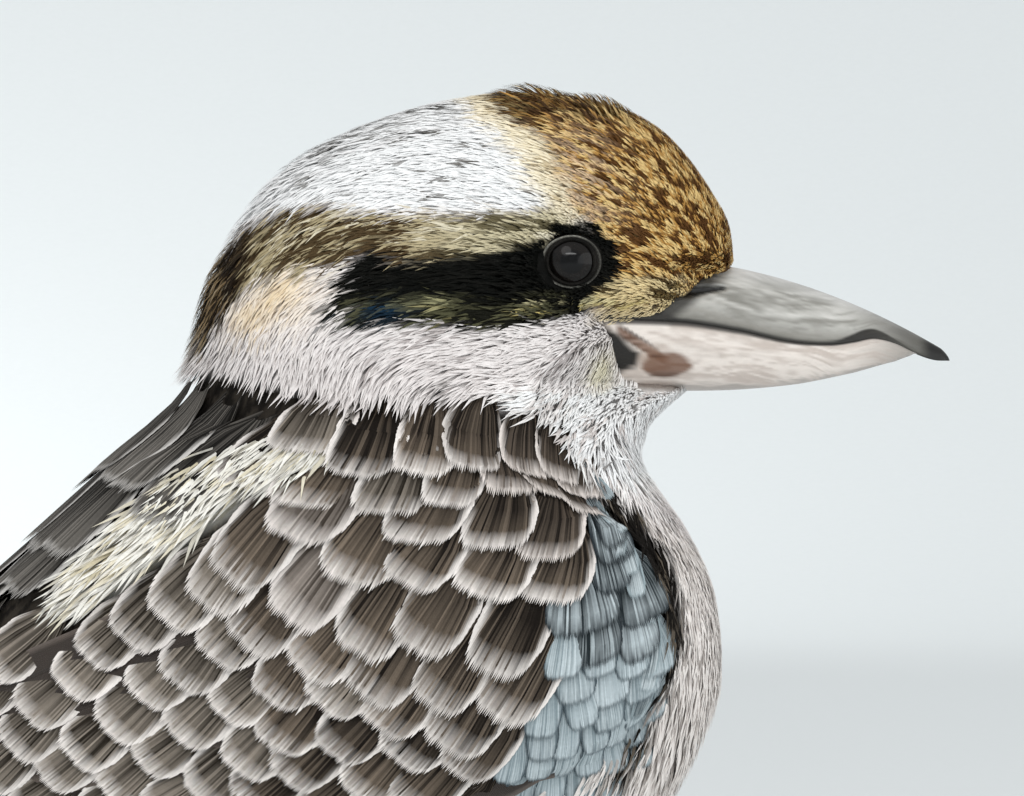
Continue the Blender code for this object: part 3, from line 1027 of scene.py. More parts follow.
@dataclass
class Blades:
    """Many thin pointed blades in one mesh: each is a ridge with two edges, closed underneath.

    Attributes:
        path: the ridge lines, shaped (blades, steps, 3).
        up: the outward direction at each step.
        width: the full width at each step.
        rise: the ridge's height over its edges, as a share of the width.
    """

    path: Array
    up: Array
    width: Array
    rise: float = 0.07

    def points(self) -> Array:
        """Vertices: three for each step but the last, which is the tip.

        Returns:
            One row for each.
        """
        ahead = np.gradient(self.path, axis=1)
        side = unit(np.cross(ahead, self.up))
        half = self.width[..., None] / 2
        left = self.path - side * half
        right = self.path + side * half
        ridge = self.path + self.up * self.width[..., None] * self.rise
        body = np.stack([left, ridge, right], axis=2)[:, :-1]
        count = len(self.path)
        return np.concatenate([body.reshape(count, -1, 3), self.path[:, -1:]], axis=1).reshape(-1, 3)

    def spread(self, values: Array) -> Array:
        """Numbers given for each step, copied to that step's vertices.

        Args:
            values: one for each step of each blade.

        Returns:
            One for each vertex.
        """
        body = np.repeat(values[:, :-1], 3, axis=1)
        joined = np.concatenate([body, values[:, -1:]], axis=1)
        return joined.reshape(-1, *values.shape[2:])

    def faces(self) -> Array:
        """Triangles of every blade: three sides for each stretch, a point, and a closed root.

        Returns:
            Vertex numbers.
        """
        steps = self.path.shape[1]
        one = [(0, 2, 1)]
        for k in range(steps - 2):
            low, high = 3 * k, 3 * k + 3
            for a, b in ((0, 1), (1, 2), (2, 0)):
                one += [(low + a, low + b, high + b), (low + a, high + b, high + a)]
        tip = 3 * (steps - 1)
        low = tip - 3
        one += [(low, low + 1, tip), (low + 1, low + 2, tip), (low + 2, low, tip)]
        size = tip + 1
        starts = np.arange(len(self.path))[:, None, None] * size
        return (np.array(one)[None] + starts).reshape(-1, 3)

    def map(self, roots: Array, patch: float = 0.003) -> Array:
        """OFBake places: each blade is a patch of that size at its root's own place.

        Args:
            roots: one for each blade.
            patch: the patch's size.

        Returns:
            One for each vertex.
        """
        steps = self.path.shape[1]
        across = np.tile(np.array([-0.5, 0.0, 0.5]), steps - 1)
        down = np.repeat(np.linspace(-0.5, 0.5, steps)[:-1], 3)
        one = join(np.append(across, 0.0), np.append(down, 0.5)) * patch
        return (roots[:, None] + one[None]).reshape(-1, 2)

    def make(self, name: str, pieces: Pieces, material: Any, slot: Slot, tint: Array, uv: Array) -> None:
        """Makes the piece.

        Args:
            name, pieces, material, slot: what the piece is made with.
            tint: a colour for each step.
            uv: the vertices' places on the OFBake map.
        """
        points, shown = self.points(), {"tint": self.spread(tint)}
        pieces.make(name, points, outward(points, self.faces()), material, slot, (), shown, uv, False)


# ---- Markings ----


@dataclass(frozen=True)
class Tone:
    """Soft plumage of one kind: its ground colour, its dark streaks and the share that they take."""

    ground: str
    dark: str
    share: float

    def over(self, now: Array, share: Array, noise: Array) -> Array:
        """Lays the streaked colour over what is there."""
        dark = smooth(noise, 1 - self.share - 0.06, 1 - self.share + 0.06)
        return blend(now, blend(ink(self.ground), ink(self.dark), dark), share)


def lay(colour: Array, layers: tuple, noise: Array | None = None) -> Array:
    """Lays plain colours and tones over a colour.

    Args:
        colour: what is there.
        layers: for each layer its tone or rrggbb, its share, and the tone's own noise if it has one.
        noise: the other tones' noise.

    Returns:
        The new colour.
    """
    for over, share, *own in layers:
        if isinstance(over, Tone):
            colour = over.over(colour, share, own[0] if own else noise)
        else:
            colour = blend(colour, ink(over), share)
    return colour


def spot(x: Array, z: Array, middle: tuple[float, float], reach: tuple[float, float]) -> Array:
    """A soft spot: 1 in its middle, exp(-1) at its reach along X and Z."""
    return np.exp(-(((x - middle[0]) / reach[0]) ** 2) - ((z - middle[1]) / reach[1]) ** 2)


@dataclass(frozen=True)
class Markings:
    """The plumage's colours by place, which skin and coat both read.

    Attributes:
        crown_foot, band_foot, stripe_top, stripe_foot: lines in side view, as x values and heights.
        cap_edge: the forehead's rear boundary, as heights and x values.
        wing_front: the wing's front edge, as heights and x values.
    """

    crown_foot: tuple = (
        (-14, -9.5, -4.9, -0.1, 4.7, 14, 23, 36, 52.7, 64.4, 70),
        (190, 203, 212, 217, 220.5, 222.5, 222, 219, 216.5, 217, 219),
    )
    band_foot: tuple = (
        (-16, -9.5, -4.9, 0, 4.7, 14, 23, 32, 39, 47.7, 58, 64.4, 70),
        (183, 193, 200, 204.5, 208, 209, 208.5, 210, 208, 207, 206, 207, 210),
    )
    stripe_top: tuple = (
        (19, 21.7, 26, 32.6, 39, 47.7, 58, 64.4, 69, 74, 78, 82, 84.8, 86),
        (198, 202, 206, 210.3, 208.4, 208, 208.8, 211, 214.4, 214.8, 213.8, 210, 204.4, 200),
    )
    stripe_foot: tuple = (
        (21, 27, 32.6, 37.6, 49.3, 58.5, 66, 73.6, 78, 84.5),
        (197, 195.6, 194.8, 195.2, 194.4, 193.2, 194, 195.6, 197.5, 200),
    )
    cap_edge: tuple = (
        (194, 203.6, 210, 217, 223.6, 229.5, 235, 240, 247),
        (79, 78, 77, 76, 72.5, 70.5, 67, 61, 57),
    )
    wing_front: tuple = (
        (96, 103, 111.8, 122.7, 133.5, 142, 150, 157, 162),
        (80, 84.5, 88, 89.5, 89.5, 86.4, 81.8, 77.6, 75),
    )
    white: Tone = Tone("e2dcda", "b2aaa8", 0.10)
    throat: Tone = Tone("faf6f4", "d3ccc9", 0.12)
    breast: Tone = Tone("e6dfda", "a29a94", 0.22)
    crown: Tone = Tone("f3f2f2", "6d6a66", 0.09)
    nape: Tone = Tone("776347", "231a11", 0.56)
    buff: Tone = Tone("aa9c7b", "4c3d28", 0.44)
    brow: Tone = Tone("c6bc9d", "645c44", 0.31)
    cream: Tone = Tone("eee2d4", "8b8176", 0.10)
    rim: Tone = Tone("eee2c6", "cdbc9a", 0.14)
    cap: Tone = Tone("b5894a", "57391c", 0.40)
    stripe: Tone = Tone("0d0d0a", "040503", 0.5)
    olive: Tone = Tone("4c4b36", "14140d", 0.46)
    lores: Tone = Tone("dcc899", "4a3d25", 0.28)
    shadow: Tone = Tone("8b8580", "3f3a36", 0.5)
    # front_edge: dark streaks ahead of the wing's front edge, partly the plumage's own streaks, partly
    # painted shade under the wing's edge.
    front_edge: Tone = Tone("5a5248", "14110e", 0.66)
    patch: Tone = Tone("f1eee6", "c4bfb2", 0.15)
    mantle: Tone = Tone("3c362f", "1c1814", 0.5)
    rump: Tone = Tone("8a5f3c", "35291f", 0.5)

    def paint(self, point: Array, t: Array, angle: Array, heading: Array) -> Pair:
        """Colours at each place, layer over layer, with streaks that run with the feathers.

        Args:
            point: places in the bird's frame.
            t, angle: their stations and angles.
            heading: the lie of the feathers there.

        Returns:
            The colour near the feather's root, darkened as painted shade between the overlapping tufts, and
            the colour of its tip, made a little lighter as painted light.
        """
        x, side, z = point[:, 0], np.abs(point[:, 1]), point[:, 2]
        wobble = (value_noise(point / 3.5, 11) - 0.5) * 2
        x, z = x + wobble * 1.1, z + wobble * 0.9
        streak, round_ = streaks(point, heading, 12, 0.85, 0.55, 7), np.abs(angle)
        fleck = streaks(point, heading, 13, 0.72, 0.34, 3)
        crown_foot, band_foot = np.interp(x, *self.crown_foot), np.interp(x, *self.band_foot)
        top, foot = np.interp(x, *self.stripe_top), np.interp(x, *self.stripe_foot)

        head = fade(t, 6.1, 6.6)
        bars = smooth(np.sin(t * 2 * math.pi * 2.6 + wobble * 1.5), 0.5, 0.9) * smooth(t, 8.6, 9.6)
        outer = fade(side, 6, 18) * smooth(z - crown_foot, 4, 12) * smooth(streak, 0.58, 0.74)
        band = smooth(z - band_foot, -1.2, 0.8) * smooth(crown_foot - z, -1.5, 1.5) * smooth(x, -15, -10)
        ahead_of_eye = fade(x, 70, 76)
        strokes = band * fade(streak, 0.10, 0.22) * smooth(x, -6, 2)
        edge = np.interp(z, *self.cap_edge)
        cap = smooth(x - edge, -2.2, 2.2) * smooth(z, 195, 198)
        fray = (streak - 0.5) * 8 * fade(x, 26, 36)
        ragged = (streak - 0.5) * 3.2 * smooth(x, 58, 66)
        stripe = smooth(top + ragged - z, -0.9, 0.9) * smooth(z - foot, -0.7, 0.7)
        stripe = stripe * smooth(x + fray, 23.0, 26.5) * smooth(ragged - x, -86.0, -83.6)
        low = stripe * smooth(foot + 6 - z, -1.5, 2.5) * fade(x, 66, 74)
        gold = stripe * smooth(foot + 3.2 - z, -1, 1) * smooth(x, 40, 52) * fade(streak, 0.10, 0.20)
        lores = smooth(x, 76, 81) * smooth(foot + 3.0 - z, -1, 1) * fade(x, 94, 99) * smooth(z, 193, 194.5)
        line = fade(np.abs(z - 198.6 + (x - 66) * 0.03), 0.2, 0.7) * smooth(x, 62, 66) * fade(x, 82, 86)
        lip = fade(np.abs(z - 197.6 - np.clip(x - 84, 0, 9) * 0.25), 0.3, 0.9)
        lip = lip * smooth(x, 76, 80) * fade(x, 90, 94)
        below = ((42.5, 183), (4.5, 1.3)), ((50, 182.6), (3, 1.0)), ((47, 177), (16, 1.6))
        shade = np.clip(sum(spot(x, z, *where) for where in below), 0, 1)
        # A dark streaked band on the breast ahead of the wing's front edge: partly the plumage's own
        # streaks, partly painted shade under the wing's edge.
        ahead = x - np.interp(z, *self.wing_front)
        wide = np.interp(z, (98, 125, 138, 152, 160, 166), (2.2, 3.8, 7.0, 8.0, 6.5, 2.5))
        dark = smooth(ahead, -1.5, -0.4) * smooth(wide - ahead, -1.4, 0.6)
        dark = dark * smooth(z, 97, 103) * fade(z, 162, 169)
        past, (_, lower) = t - WING.front(angle), WING.across(t, angle)
        back = smooth(past, -0.12, 0.08) * fade(round_, 1.05, 1.25)
        back = back + smooth(past, 0.0, 0.2) * smooth(lower, -1, 2)
        back = back + smooth(t, 8.3, 9.2) * fade(round_, 1.1, 1.35)
        patch = WING.buff_patch(t, angle)
        barred = smooth(np.sin(t * 2 * math.pi * 2.4 + wobble), 0.0, 0.5)
        layers = (
            (self.white, np.ones(len(x))),
            (self.throat, fade(z, 179, 185) * smooth(z, 156, 168) * smooth(x, 54, 64)),
            (self.breast, fade(z, 158, 174) * smooth(t, 5.0, 6.0) * 0.9),
            ("8a7a66", bars * 0.40 * smooth(round_, 1.0, 1.6) * fade(round_, 2.3, 2.75)),
            (self.crown, smooth(z - crown_foot, -1, 2) * head),
            ("4f4d48", outer * head * 0.9),
            (self.cream, spot(x, z, (15, 204), (9, 6)) * head),
            ("ecd3a8", spot(x, z, (4.5, 201), (5, 3.5)) * 0.75 * head),
            ("ecd3a8", spot(x, z, (12, 205), (5.5, 3)) * 0.75 * head),
            (self.buff, band * fade(x, 64, 72) * head),
            (self.nape, band * smooth(-x, -7, 0) * head),
            (self.brow, band * smooth(x, 40, 60) * ahead_of_eye),
            ("e4dcc6", strokes * ahead_of_eye * 0.7),
            (self.rim, smooth(x - edge, -10, -3) * smooth(z, 213, 219)),
            (self.cap, cap, fleck),
            ("e0c386", cap * fade(fleck, 0.14, 0.30) * 0.85),
            ("dfc4a4", cap * spot(x, z, (74, 223), (8, 10)) * fade(streak, 0.5, 0.8) * 0.8),
            ("35281a", cap * smooth(z, 233, 243) * smooth(streak, 0.25, 0.6) * 0.8),
            (self.stripe, stripe),
            (self.olive, low),
            ("8d8a68", low * fade(streak, 0.08, 0.16)),
            ("b5a467", gold),
            ("12354e", stripe * spot(x, z, (37, 198), (5, 1.9)) * 0.6),
            ("4d5c68", stripe * spot(x, z, (23, 196), (3, 2.4)) * 0.7),
            (self.lores, lores * 0.9),
            ("ddd3a6", line * 0.8 * fade(streak, 0.45, 0.75)),
            ("bfae72", lip * 0.8 * fade(streak, 0.4, 0.6)),
            (self.shadow, shade * smooth(streak, 0.3, 0.55) * 0.8),
            (self.front_edge, dark * (t > 5.2) * smooth(side, 17, 23)),
            ("e6dfbc", spot(x, z, (79.6, 184.6), (2.2, 3.6)) * 0.75),
            (self.mantle, np.clip(back, 0, 1)),
            (self.patch, patch),
            ("d2c294", patch * smooth(fleck, 0.78, 0.88) * 0.45),
            (self.rump, smooth(t, 10.6, 11.6) * fade(round_, 1.2, 1.45) * 0.9, barred),
        )
        colour = lay(np.zeros((len(x), 3)), layers, streak)
        # Painted shade and light: the root's copy is darkened by 0.89 and the tip's copy lightened by 1.04.
        return colour * 0.89, np.minimum(colour * 1.04, 0.92)


MARKINGS = Markings()


# ---- Skin and coat ----


@dataclass(frozen=True)
class Skin:
    """One closed skin under the whole coat, with the wings' arms and the thighs."""

    stations: int = 260
    sides: int = 150
    voxel: float = 1.25
    hip: tuple = (14.0, 24.0, 80.0)
    ankle: tuple = (-6.0, 26.0, 36.5)

    def trunk(self) -> Pair:
        """The body's outline moved inwards by the coat's depth, and narrowed where the bill enters it.

        Returns:
            Vertices and faces.
        """
        round_ = np.linspace(-math.pi, math.pi, self.sides, endpoint=False)
        t, angle = np.meshgrid(np.linspace(0.0, BODY.last, self.stations), round_, indexing="ij")
        chart = BODY.chart(t, angle)
        x, y, z = np.moveaxis(chart.point + chart.normal * WING.skin(t, angle)[..., None], -1, 0)
        narrow = np.sign(y) * np.minimum(np.abs(y), np.maximum(Bill().reach_at(x, z) - 3.0, 0.4))
        y = y + (narrow - y) * BARE_BILL.inside(x, z, 0.4)
        return join(x, y, z).reshape(-1, 3), loft_faces(self.stations, self.sides)

    def thigh(self, side: Side) -> Pair:
        """The shank's flesh, from inside the belly to the ankle.

        Args:
            side: which leg.

        Returns:
            Vertices and faces.
        """
        s = np.linspace(0, 1, 16)[:, None]
        hip, ankle = np.array(self.hip), np.array(self.ankle)
        path = (hip + (ankle - hip) * s) * (1, side.value, 1)
        return tube(path, self.leg_radius(s[:, 0]), 20)

    @staticmethod
    def leg_radius(s: Array) -> Array:
        """The leg's flesh, from 15 at the hip to under 4 at the ankle."""
        return 15.0 - 11.2 * s**0.8

    def make(self, pieces: Pieces, material: Any) -> None:
        """Joins the parts, fuses them by a voxel remesh and paints the markings on them.

        Args:
            pieces, material: what the piece is made with.
        """
        origin = (MIDDLE_X, 0, GROUND)
        points, faces = np.empty((0, 3)), np.empty((0, 3), int)
        for some, turned in (self.trunk(), self.thigh(Side.LEFT), self.thigh(Side.RIGHT)):
            faces = np.concatenate([faces, outward(some, turned) + len(points)])
            points = np.concatenate([points, some])
        rough = bpy.data.meshes.new("rough_skin")
        rough.from_pydata(points - origin, [], faces.tolist())
        carrier = put("rough_skin", rough)
        step = carrier.modifiers.new("fuse", "REMESH")
        step.mode = "VOXEL"
        step.voxel_size = self.voxel
        ease = carrier.modifiers.new("ease", "SMOOTH")
        ease.iterations = 4
        bpy.context.view_layer.update()
        seen = carrier.evaluated_get(bpy.context.evaluated_depsgraph_get())
        fused = bpy.data.meshes.new_from_object(seen)
        places = np.empty(len(fused.vertices) * 3, np.float32)
        fused.vertices.foreach_get("co", places)
        corners = np.empty(len(fused.loops), np.int32)
        fused.loops.foreach_get("vertex_index", corners)
        bpy.data.objects.remove(carrier)
        points = places.reshape(-1, 3).astype(float) + origin
        t, angle = BODY.locate(points[:, 0], points[:, 2])
        angle = np.where(points[:, 1] < 0, -angle, angle)
        # The skin takes the root's darkened colour: painted shade in the gaps between the tufts.
        tint = MARKINGS.paint(points, t, angle, LIE.heading(BODY.chart(t, angle)))[0]
        # Where the feathers meet the bill the skin is dark above and grey-brown below: partly the bare
        # skin's edge, partly painted shade in the seam under the feather line.
        low = smooth(-points[:, 2], -190, -184)[:, None]
        border = ink("2b251f") * (1 - low) + ink("8b8078") * low
        tint = blend(tint, border, BARE_BILL.inside(points[:, 0], points[:, 2], 0.9))
        nodes = ("head", "neck", "trunk", "wing_left", "wing_right", "thigh_left", "thigh_right")
        pieces.make("skin", points, corners.reshape(-1, 4), material, Slot.PALE, nodes, {"tint": tint})


def tube(path: Array, radius: Array, sides: int, floor: float = -1e9) -> Pair:
    """A round bar along a path: circles square to it, pressed flat where they would sink below the floor.

    Args:
        path: the centre line's points.
        radius: one radius for each point, or one row of radii.
        sides: points in each circle.
        floor: the lowest height.

    Returns:
        Vertices and faces.
    """
    ahead = unit(np.gradient(path, axis=0))
    up = np.array([0.0, 1.0, 0.0]) if np.abs(ahead[:, 2]).max() > 0.75 else np.array([0.0, 0.0, 1.0])
    sideways = unit(np.cross(up, ahead))
    upright = np.cross(ahead, sideways)
    angle = circle(sides)[:, None]
    reach = radius[:, None] if radius.ndim == 1 else radius
    ring = np.cos(angle) * sideways[:, None] + np.sin(angle) * upright[:, None]
    rings = path[:, None] + reach[..., None] * ring
    rings[..., 2] = np.maximum(rings[..., 2], floor)
    points = rings.reshape(-1, 3)
    return points, outward(points, loft_faces(len(path), sides))


@dataclass(frozen=True)
class Tract:
    """A stretch of soft plumage: where it grows and how large its tufts are at its stations."""

    name: str
    start: float
    end: float
    density: float  # tufts for each square millimetre
    steps: int = 4

    def spread(self, rng: np.random.Generator) -> Pair:
        """Even roots: a low-discrepancy sequence on the chart, thinned by the surface's own area.

        Args:
            rng: gives the random draws.

        Returns:
            Stations and angles.
        """
        t_line, a_line = np.meshgrid(np.linspace(self.start, self.end, 40), np.linspace(-3.1, 3.1, 80))
        peak = self.wanted(BODY.chart(t_line, a_line)).max()
        count = int(peak * (self.end - self.start) * 2 * math.pi)
        first, second = ((0.5 + np.arange(1, count + 1) * ratio) % 1 for ratio in EVEN_STEPS)
        t = self.start + (self.end - self.start) * first
        angle = -math.pi + 2 * math.pi * second
        keep = rng.random(count) * peak < self.wanted(BODY.chart(t, angle))
        return t[keep], angle[keep]

    def wanted(self, chart: Chart) -> Array:
        """Tufts for each unit of the chart: density by area, denser on the small feathers of the face.

        Args:
            chart: where.

        Returns:
            Their numbers.
        """
        area = np.linalg.norm(np.cross(chart.back, chart.around), axis=-1)
        fine = np.interp(TuftSizes.length(chart), (1.4, 3.0, 6.0), (3.0, 1.7, 1.0))
        return self.density * area * fine


class TuftSizes:
    """How long and wide tufts are by place."""

    @staticmethod
    def length(chart: Chart) -> Array:
        """Millimetres: short at the bill, on the forehead and round the eye, longer down neck and belly.

        Args:
            chart: where.

        Returns:
            The lengths.
        """
        stations = (0, 1, 2, 3.0, 4.0, 5, 6, 7.5, 9, 11, 13, 15)
        by_station = np.interp(chart.t, stations, (2.4, 3.2, 4.4, 6.8, 8.2, 9.0, 10, 12, 13, 14, 15, 12))
        x, z = chart.side_view
        from_bill = np.interp(BARE_BILL.depth(x, z), (0, 4, 14), (0.45, 0.62, 1.0))
        from_eye = np.interp(np.hypot(x - EYE[0], z - EYE[2]) - 6.6, (0, 3, 12), (0.28, 0.45, 1.0))
        near = np.clip(np.minimum(from_bill, from_eye), 0.26, 1)
        cap = 1 - 0.35 * smooth(x, 62, 72) * smooth(z, 208, 216)
        return by_station * np.where(chart.t < 5.5, near * cap, 1.0)

    @staticmethod
    def width(length: Array) -> Array:
        """Millimetres: broader as they get longer, but always slender."""
        return np.interp(length, (1, 3, 6, 10, 15), (0.40, 0.48, 0.56, 0.70, 1.30))


@dataclass(frozen=True)
class SoftCoat:
    """The soft plumage of head, neck, breast, belly, back and rump, in tracts of small tufts."""

    tracts: tuple = (
        Tract("plumage_face", 0.05, 2.1, 2.3),
        Tract("plumage_crown", 2.1, 3.3, 2.2),
        Tract("plumage_hindhead", 3.3, 4.5, 1.9),
        Tract("plumage_neck", 4.5, 5.8, 1.55),
        Tract("plumage_collar", 5.8, 7.4, 1.35),
        Tract("plumage_breast", 7.4, 9.6, 0.62),
        Tract("plumage_belly", 9.6, 14.3, 0.34),
    )

    def grows(self, chart: Chart) -> Array:
        """Where soft tufts grow: not under firm feathers, on the bill or on the eye.

        Args:
            chart: where.

        Returns:
            True or false for each place.
        """
        x, z = chart.side_view
        on_bill = BARE_BILL.depth(x, z) < np.where(chart.t > 2.3, -1.4, -0.5)
        reach = np.hypot((x - EYE[0]) / 1.05, (z - EYE[2]) / 0.97)
        return ~(WING.firm(chart.t, chart.angle) | on_bill | ((reach < 6.3) & (chart.t < 5)))

    def grow(self, tract: Tract, pieces: Pieces, material: Any, seed: int) -> None:
        """Grows one tract: tufts bend with the lie, and rise from the skin to lie flat at the outline.

        Args:
            tract: where it grows.
            pieces, material: what the piece is made with.
            seed: for its random draws.
        """
        rng = np.random.default_rng(seed)
        t, angle = tract.spread(rng)
        keep = self.grows(BODY.chart(t, angle))
        chart = BODY.chart(t[keep], angle[keep])
        count = len(chart.t)
        length = TuftSizes.length(chart) * rng.uniform(0.75, 1.25, count)
        width = TuftSizes.width(length) * rng.uniform(0.75, 1.3, count)
        flow = LIE.heading(chart)
        turn, curl = rng.normal(0, 0.09, count), rng.normal(0, 0.08, count)
        first, side = chart.step(flow), chart.step(np.cross(flow, chart.normal))
        middle = BODY.chart(chart.t + first[0] * length / 2, chart.angle + first[1] * length / 2)
        later = middle.step(LIE.heading(middle))
        s = np.linspace(0, 1, tract.steps)
        ahead = length[:, None] * s
        beside = length[:, None] * (turn[:, None] * s + curl[:, None] * s**2)
        steps = np.array([(chart.t, chart.angle), first, later, side])[..., None]
        t_path, a_path = (
            start + rate * ahead + (bent - rate) * ahead * s + aside * beside
            for start, rate, bent, aside in steps.swapaxes(0, 1)
        )
        way = BODY.chart(t_path, a_path)
        skin, top = WING.skin(t_path, a_path), WING.top(t_path, a_path)
        crest = self.crest(chart, rng)
        lift = rng.uniform(0.84, 1.0, count) + crest
        over = smooth(chart.t - WING.front(chart.angle), -1.0, -0.45) * 1.3 + crest * 1.5
        height = skin + (top - skin) * lift[:, None] * (1 - (1 - s) ** 2.2) + over[:, None] * s**1.5
        path = way.point + way.normal * height[..., None]
        shape = np.interp(s, (0, 0.3, 0.7, 1), (0.7, 1.0, 0.72, 0.05))
        blades = Blades(path, way.normal, (width * (1 + crest))[:, None] * shape)
        # root is the colour darkened as painted shade, tip the colour lightened as painted light.
        root, tip = MARKINGS.paint(chart.point, chart.t, chart.angle, flow)
        shade = rng.uniform(0.93, 1.05, count)[:, None]
        black = blend(tip, np.array([0.012, 0.010, 0.008]), np.clip(crest * 1.6, 0, 1))
        tint = np.stack([root * shade, tip * shade, tip * shade, black * shade], axis=1)
        across = (chart.angle / (2 * math.pi) + 0.5) * 0.96 + 0.02
        down = (chart.t - tract.start) / (tract.end - tract.start) * 0.96 + 0.02
        blades.make(tract.name, pieces, material, Slot.PALE, tint, blades.map(join(across, down)))

    def crest(self, chart: Chart, rng: np.random.Generator) -> Array:
        """Extra lift of the few feathers that stand up on the crown and down the nape.

        Args:
            chart: where.
            rng: gives the random draws.

        Returns:
            Shares of the coat's depth.
        """
        x, z = chart.side_view
        crown = (spot(x, z, (66, 243), (5, 4)) + spot(x, z, (79, 240), (6, 4))) * smooth(z, 234, 239)
        nape = fade(np.abs(chart.angle), 0.2, 0.7) * smooth(chart.t, 3.6, 5.0) * fade(chart.t, 6.0, 7.0)
        return (rng.random(len(x)) < 0.22) * (crown * 0.75 + nape * 0.25)

    def make(self, pieces: Pieces, material: Any) -> None:
        """Grows all tracts."""
        for number, tract in enumerate(self.tracts):
            self.grow(tract, pieces, material, 100 + number)


# ---- Feathers with vanes ----


@dataclass(frozen=True)
class Trousers:
    """Short pale tufts down each shin to the ankle."""

    count: int = 1500
    steps: int = 4

    def grow(self, side: Side, skin: Skin, pieces: Pieces, material: Any) -> None:
        """Tufts at even random places round the leg, each lying down it.

        Args:
            side: which leg.
            skin: gives the leg's line and radius.
            pieces, material: what the piece is made with.
        """
        rng = np.random.default_rng(81)
        share, turn = rng.uniform(0.22, 0.97, self.count), rng.uniform(0, 2 * math.pi, self.count)
        hip, ankle = np.array(skin.hip), np.array(skin.ankle)
        length = np.interp(share, (0.2, 0.6, 0.97), (10, 8, 4)) * rng.uniform(0.8, 1.2, self.count)
        s = np.linspace(0, 1, self.steps)
        down = share[:, None] + s * (length / np.linalg.norm(ankle - hip))[:, None]
        ahead = unit(ankle - hip)
        aside = unit(np.cross(ahead, (0.0, 1.0, 0.0)))
        out = np.cos(turn)[:, None] * aside + np.sin(turn)[:, None] * np.cross(ahead, aside)
        lift = 0.9 * s * rng.uniform(0.6, 1.1, (self.count, 1))
        reach = skin.leg_radius(np.minimum(down, 1)) + 0.2 + lift
        path = hip + (ankle - hip) * down[..., None] + out[:, None] * reach[..., None]
        mirror = (1, side.value, 1)
        up = np.repeat((out * mirror)[:, None], self.steps, axis=1)
        blades = Blades(path * mirror, up, (0.085 * length)[:, None] * np.array([0.7, 1.0, 0.7, 0.05]))
        tone = blend(ink("e9e4de"), ink("8f867d"), (rng.random(self.count) < 0.22) * 0.8)
        tint = np.repeat(tone[:, None], self.steps, axis=1)
        where = join(turn / (2 * math.pi), share) * 0.96 + 0.02
        blades.make("trousers_" + side.word, pieces, material, Slot.PALE, tint, blades.map(where))


@dataclass(frozen=True)
class FeatherColours:
    """A small feather's colours, and the widths of its pale fringe in millimetres."""

    dark: str
    body: str
    fringe: str
    end: float = 1.55
    side: float = 0.8


SCAPULAR = FeatherColours("17120e", "776a5d", "e6dfda", 2.0, 1.05)
REAR_SCAPULAR = FeatherColours("241f19", "91877c", "e4ddd8", 2.0, 1.2)
PALE_SCAPULAR = FeatherColours("3a332d", "978d85", "e2dad5", 2.4, 1.5)
SHOULDER = FeatherColours("1a1511", "62574d", "dcd3cd", 1.6, 0.8)
MANTLE_FEATHER = FeatherColours("12100e", "7c7771", "c6c2be", 1.2, 0.8)
PALE_BLUE = FeatherColours("7f8c91", "c4ced2", "49545a", 0.9, 0.6)
SLIM_BLUE = FeatherColours("4f5b60", "c6cfd2", "9aa8ad", 0.8, 0.5)
GREY_BLUE = FeatherColours("22292c", "bac4c8", "2c3236", 1.6, 0.7)


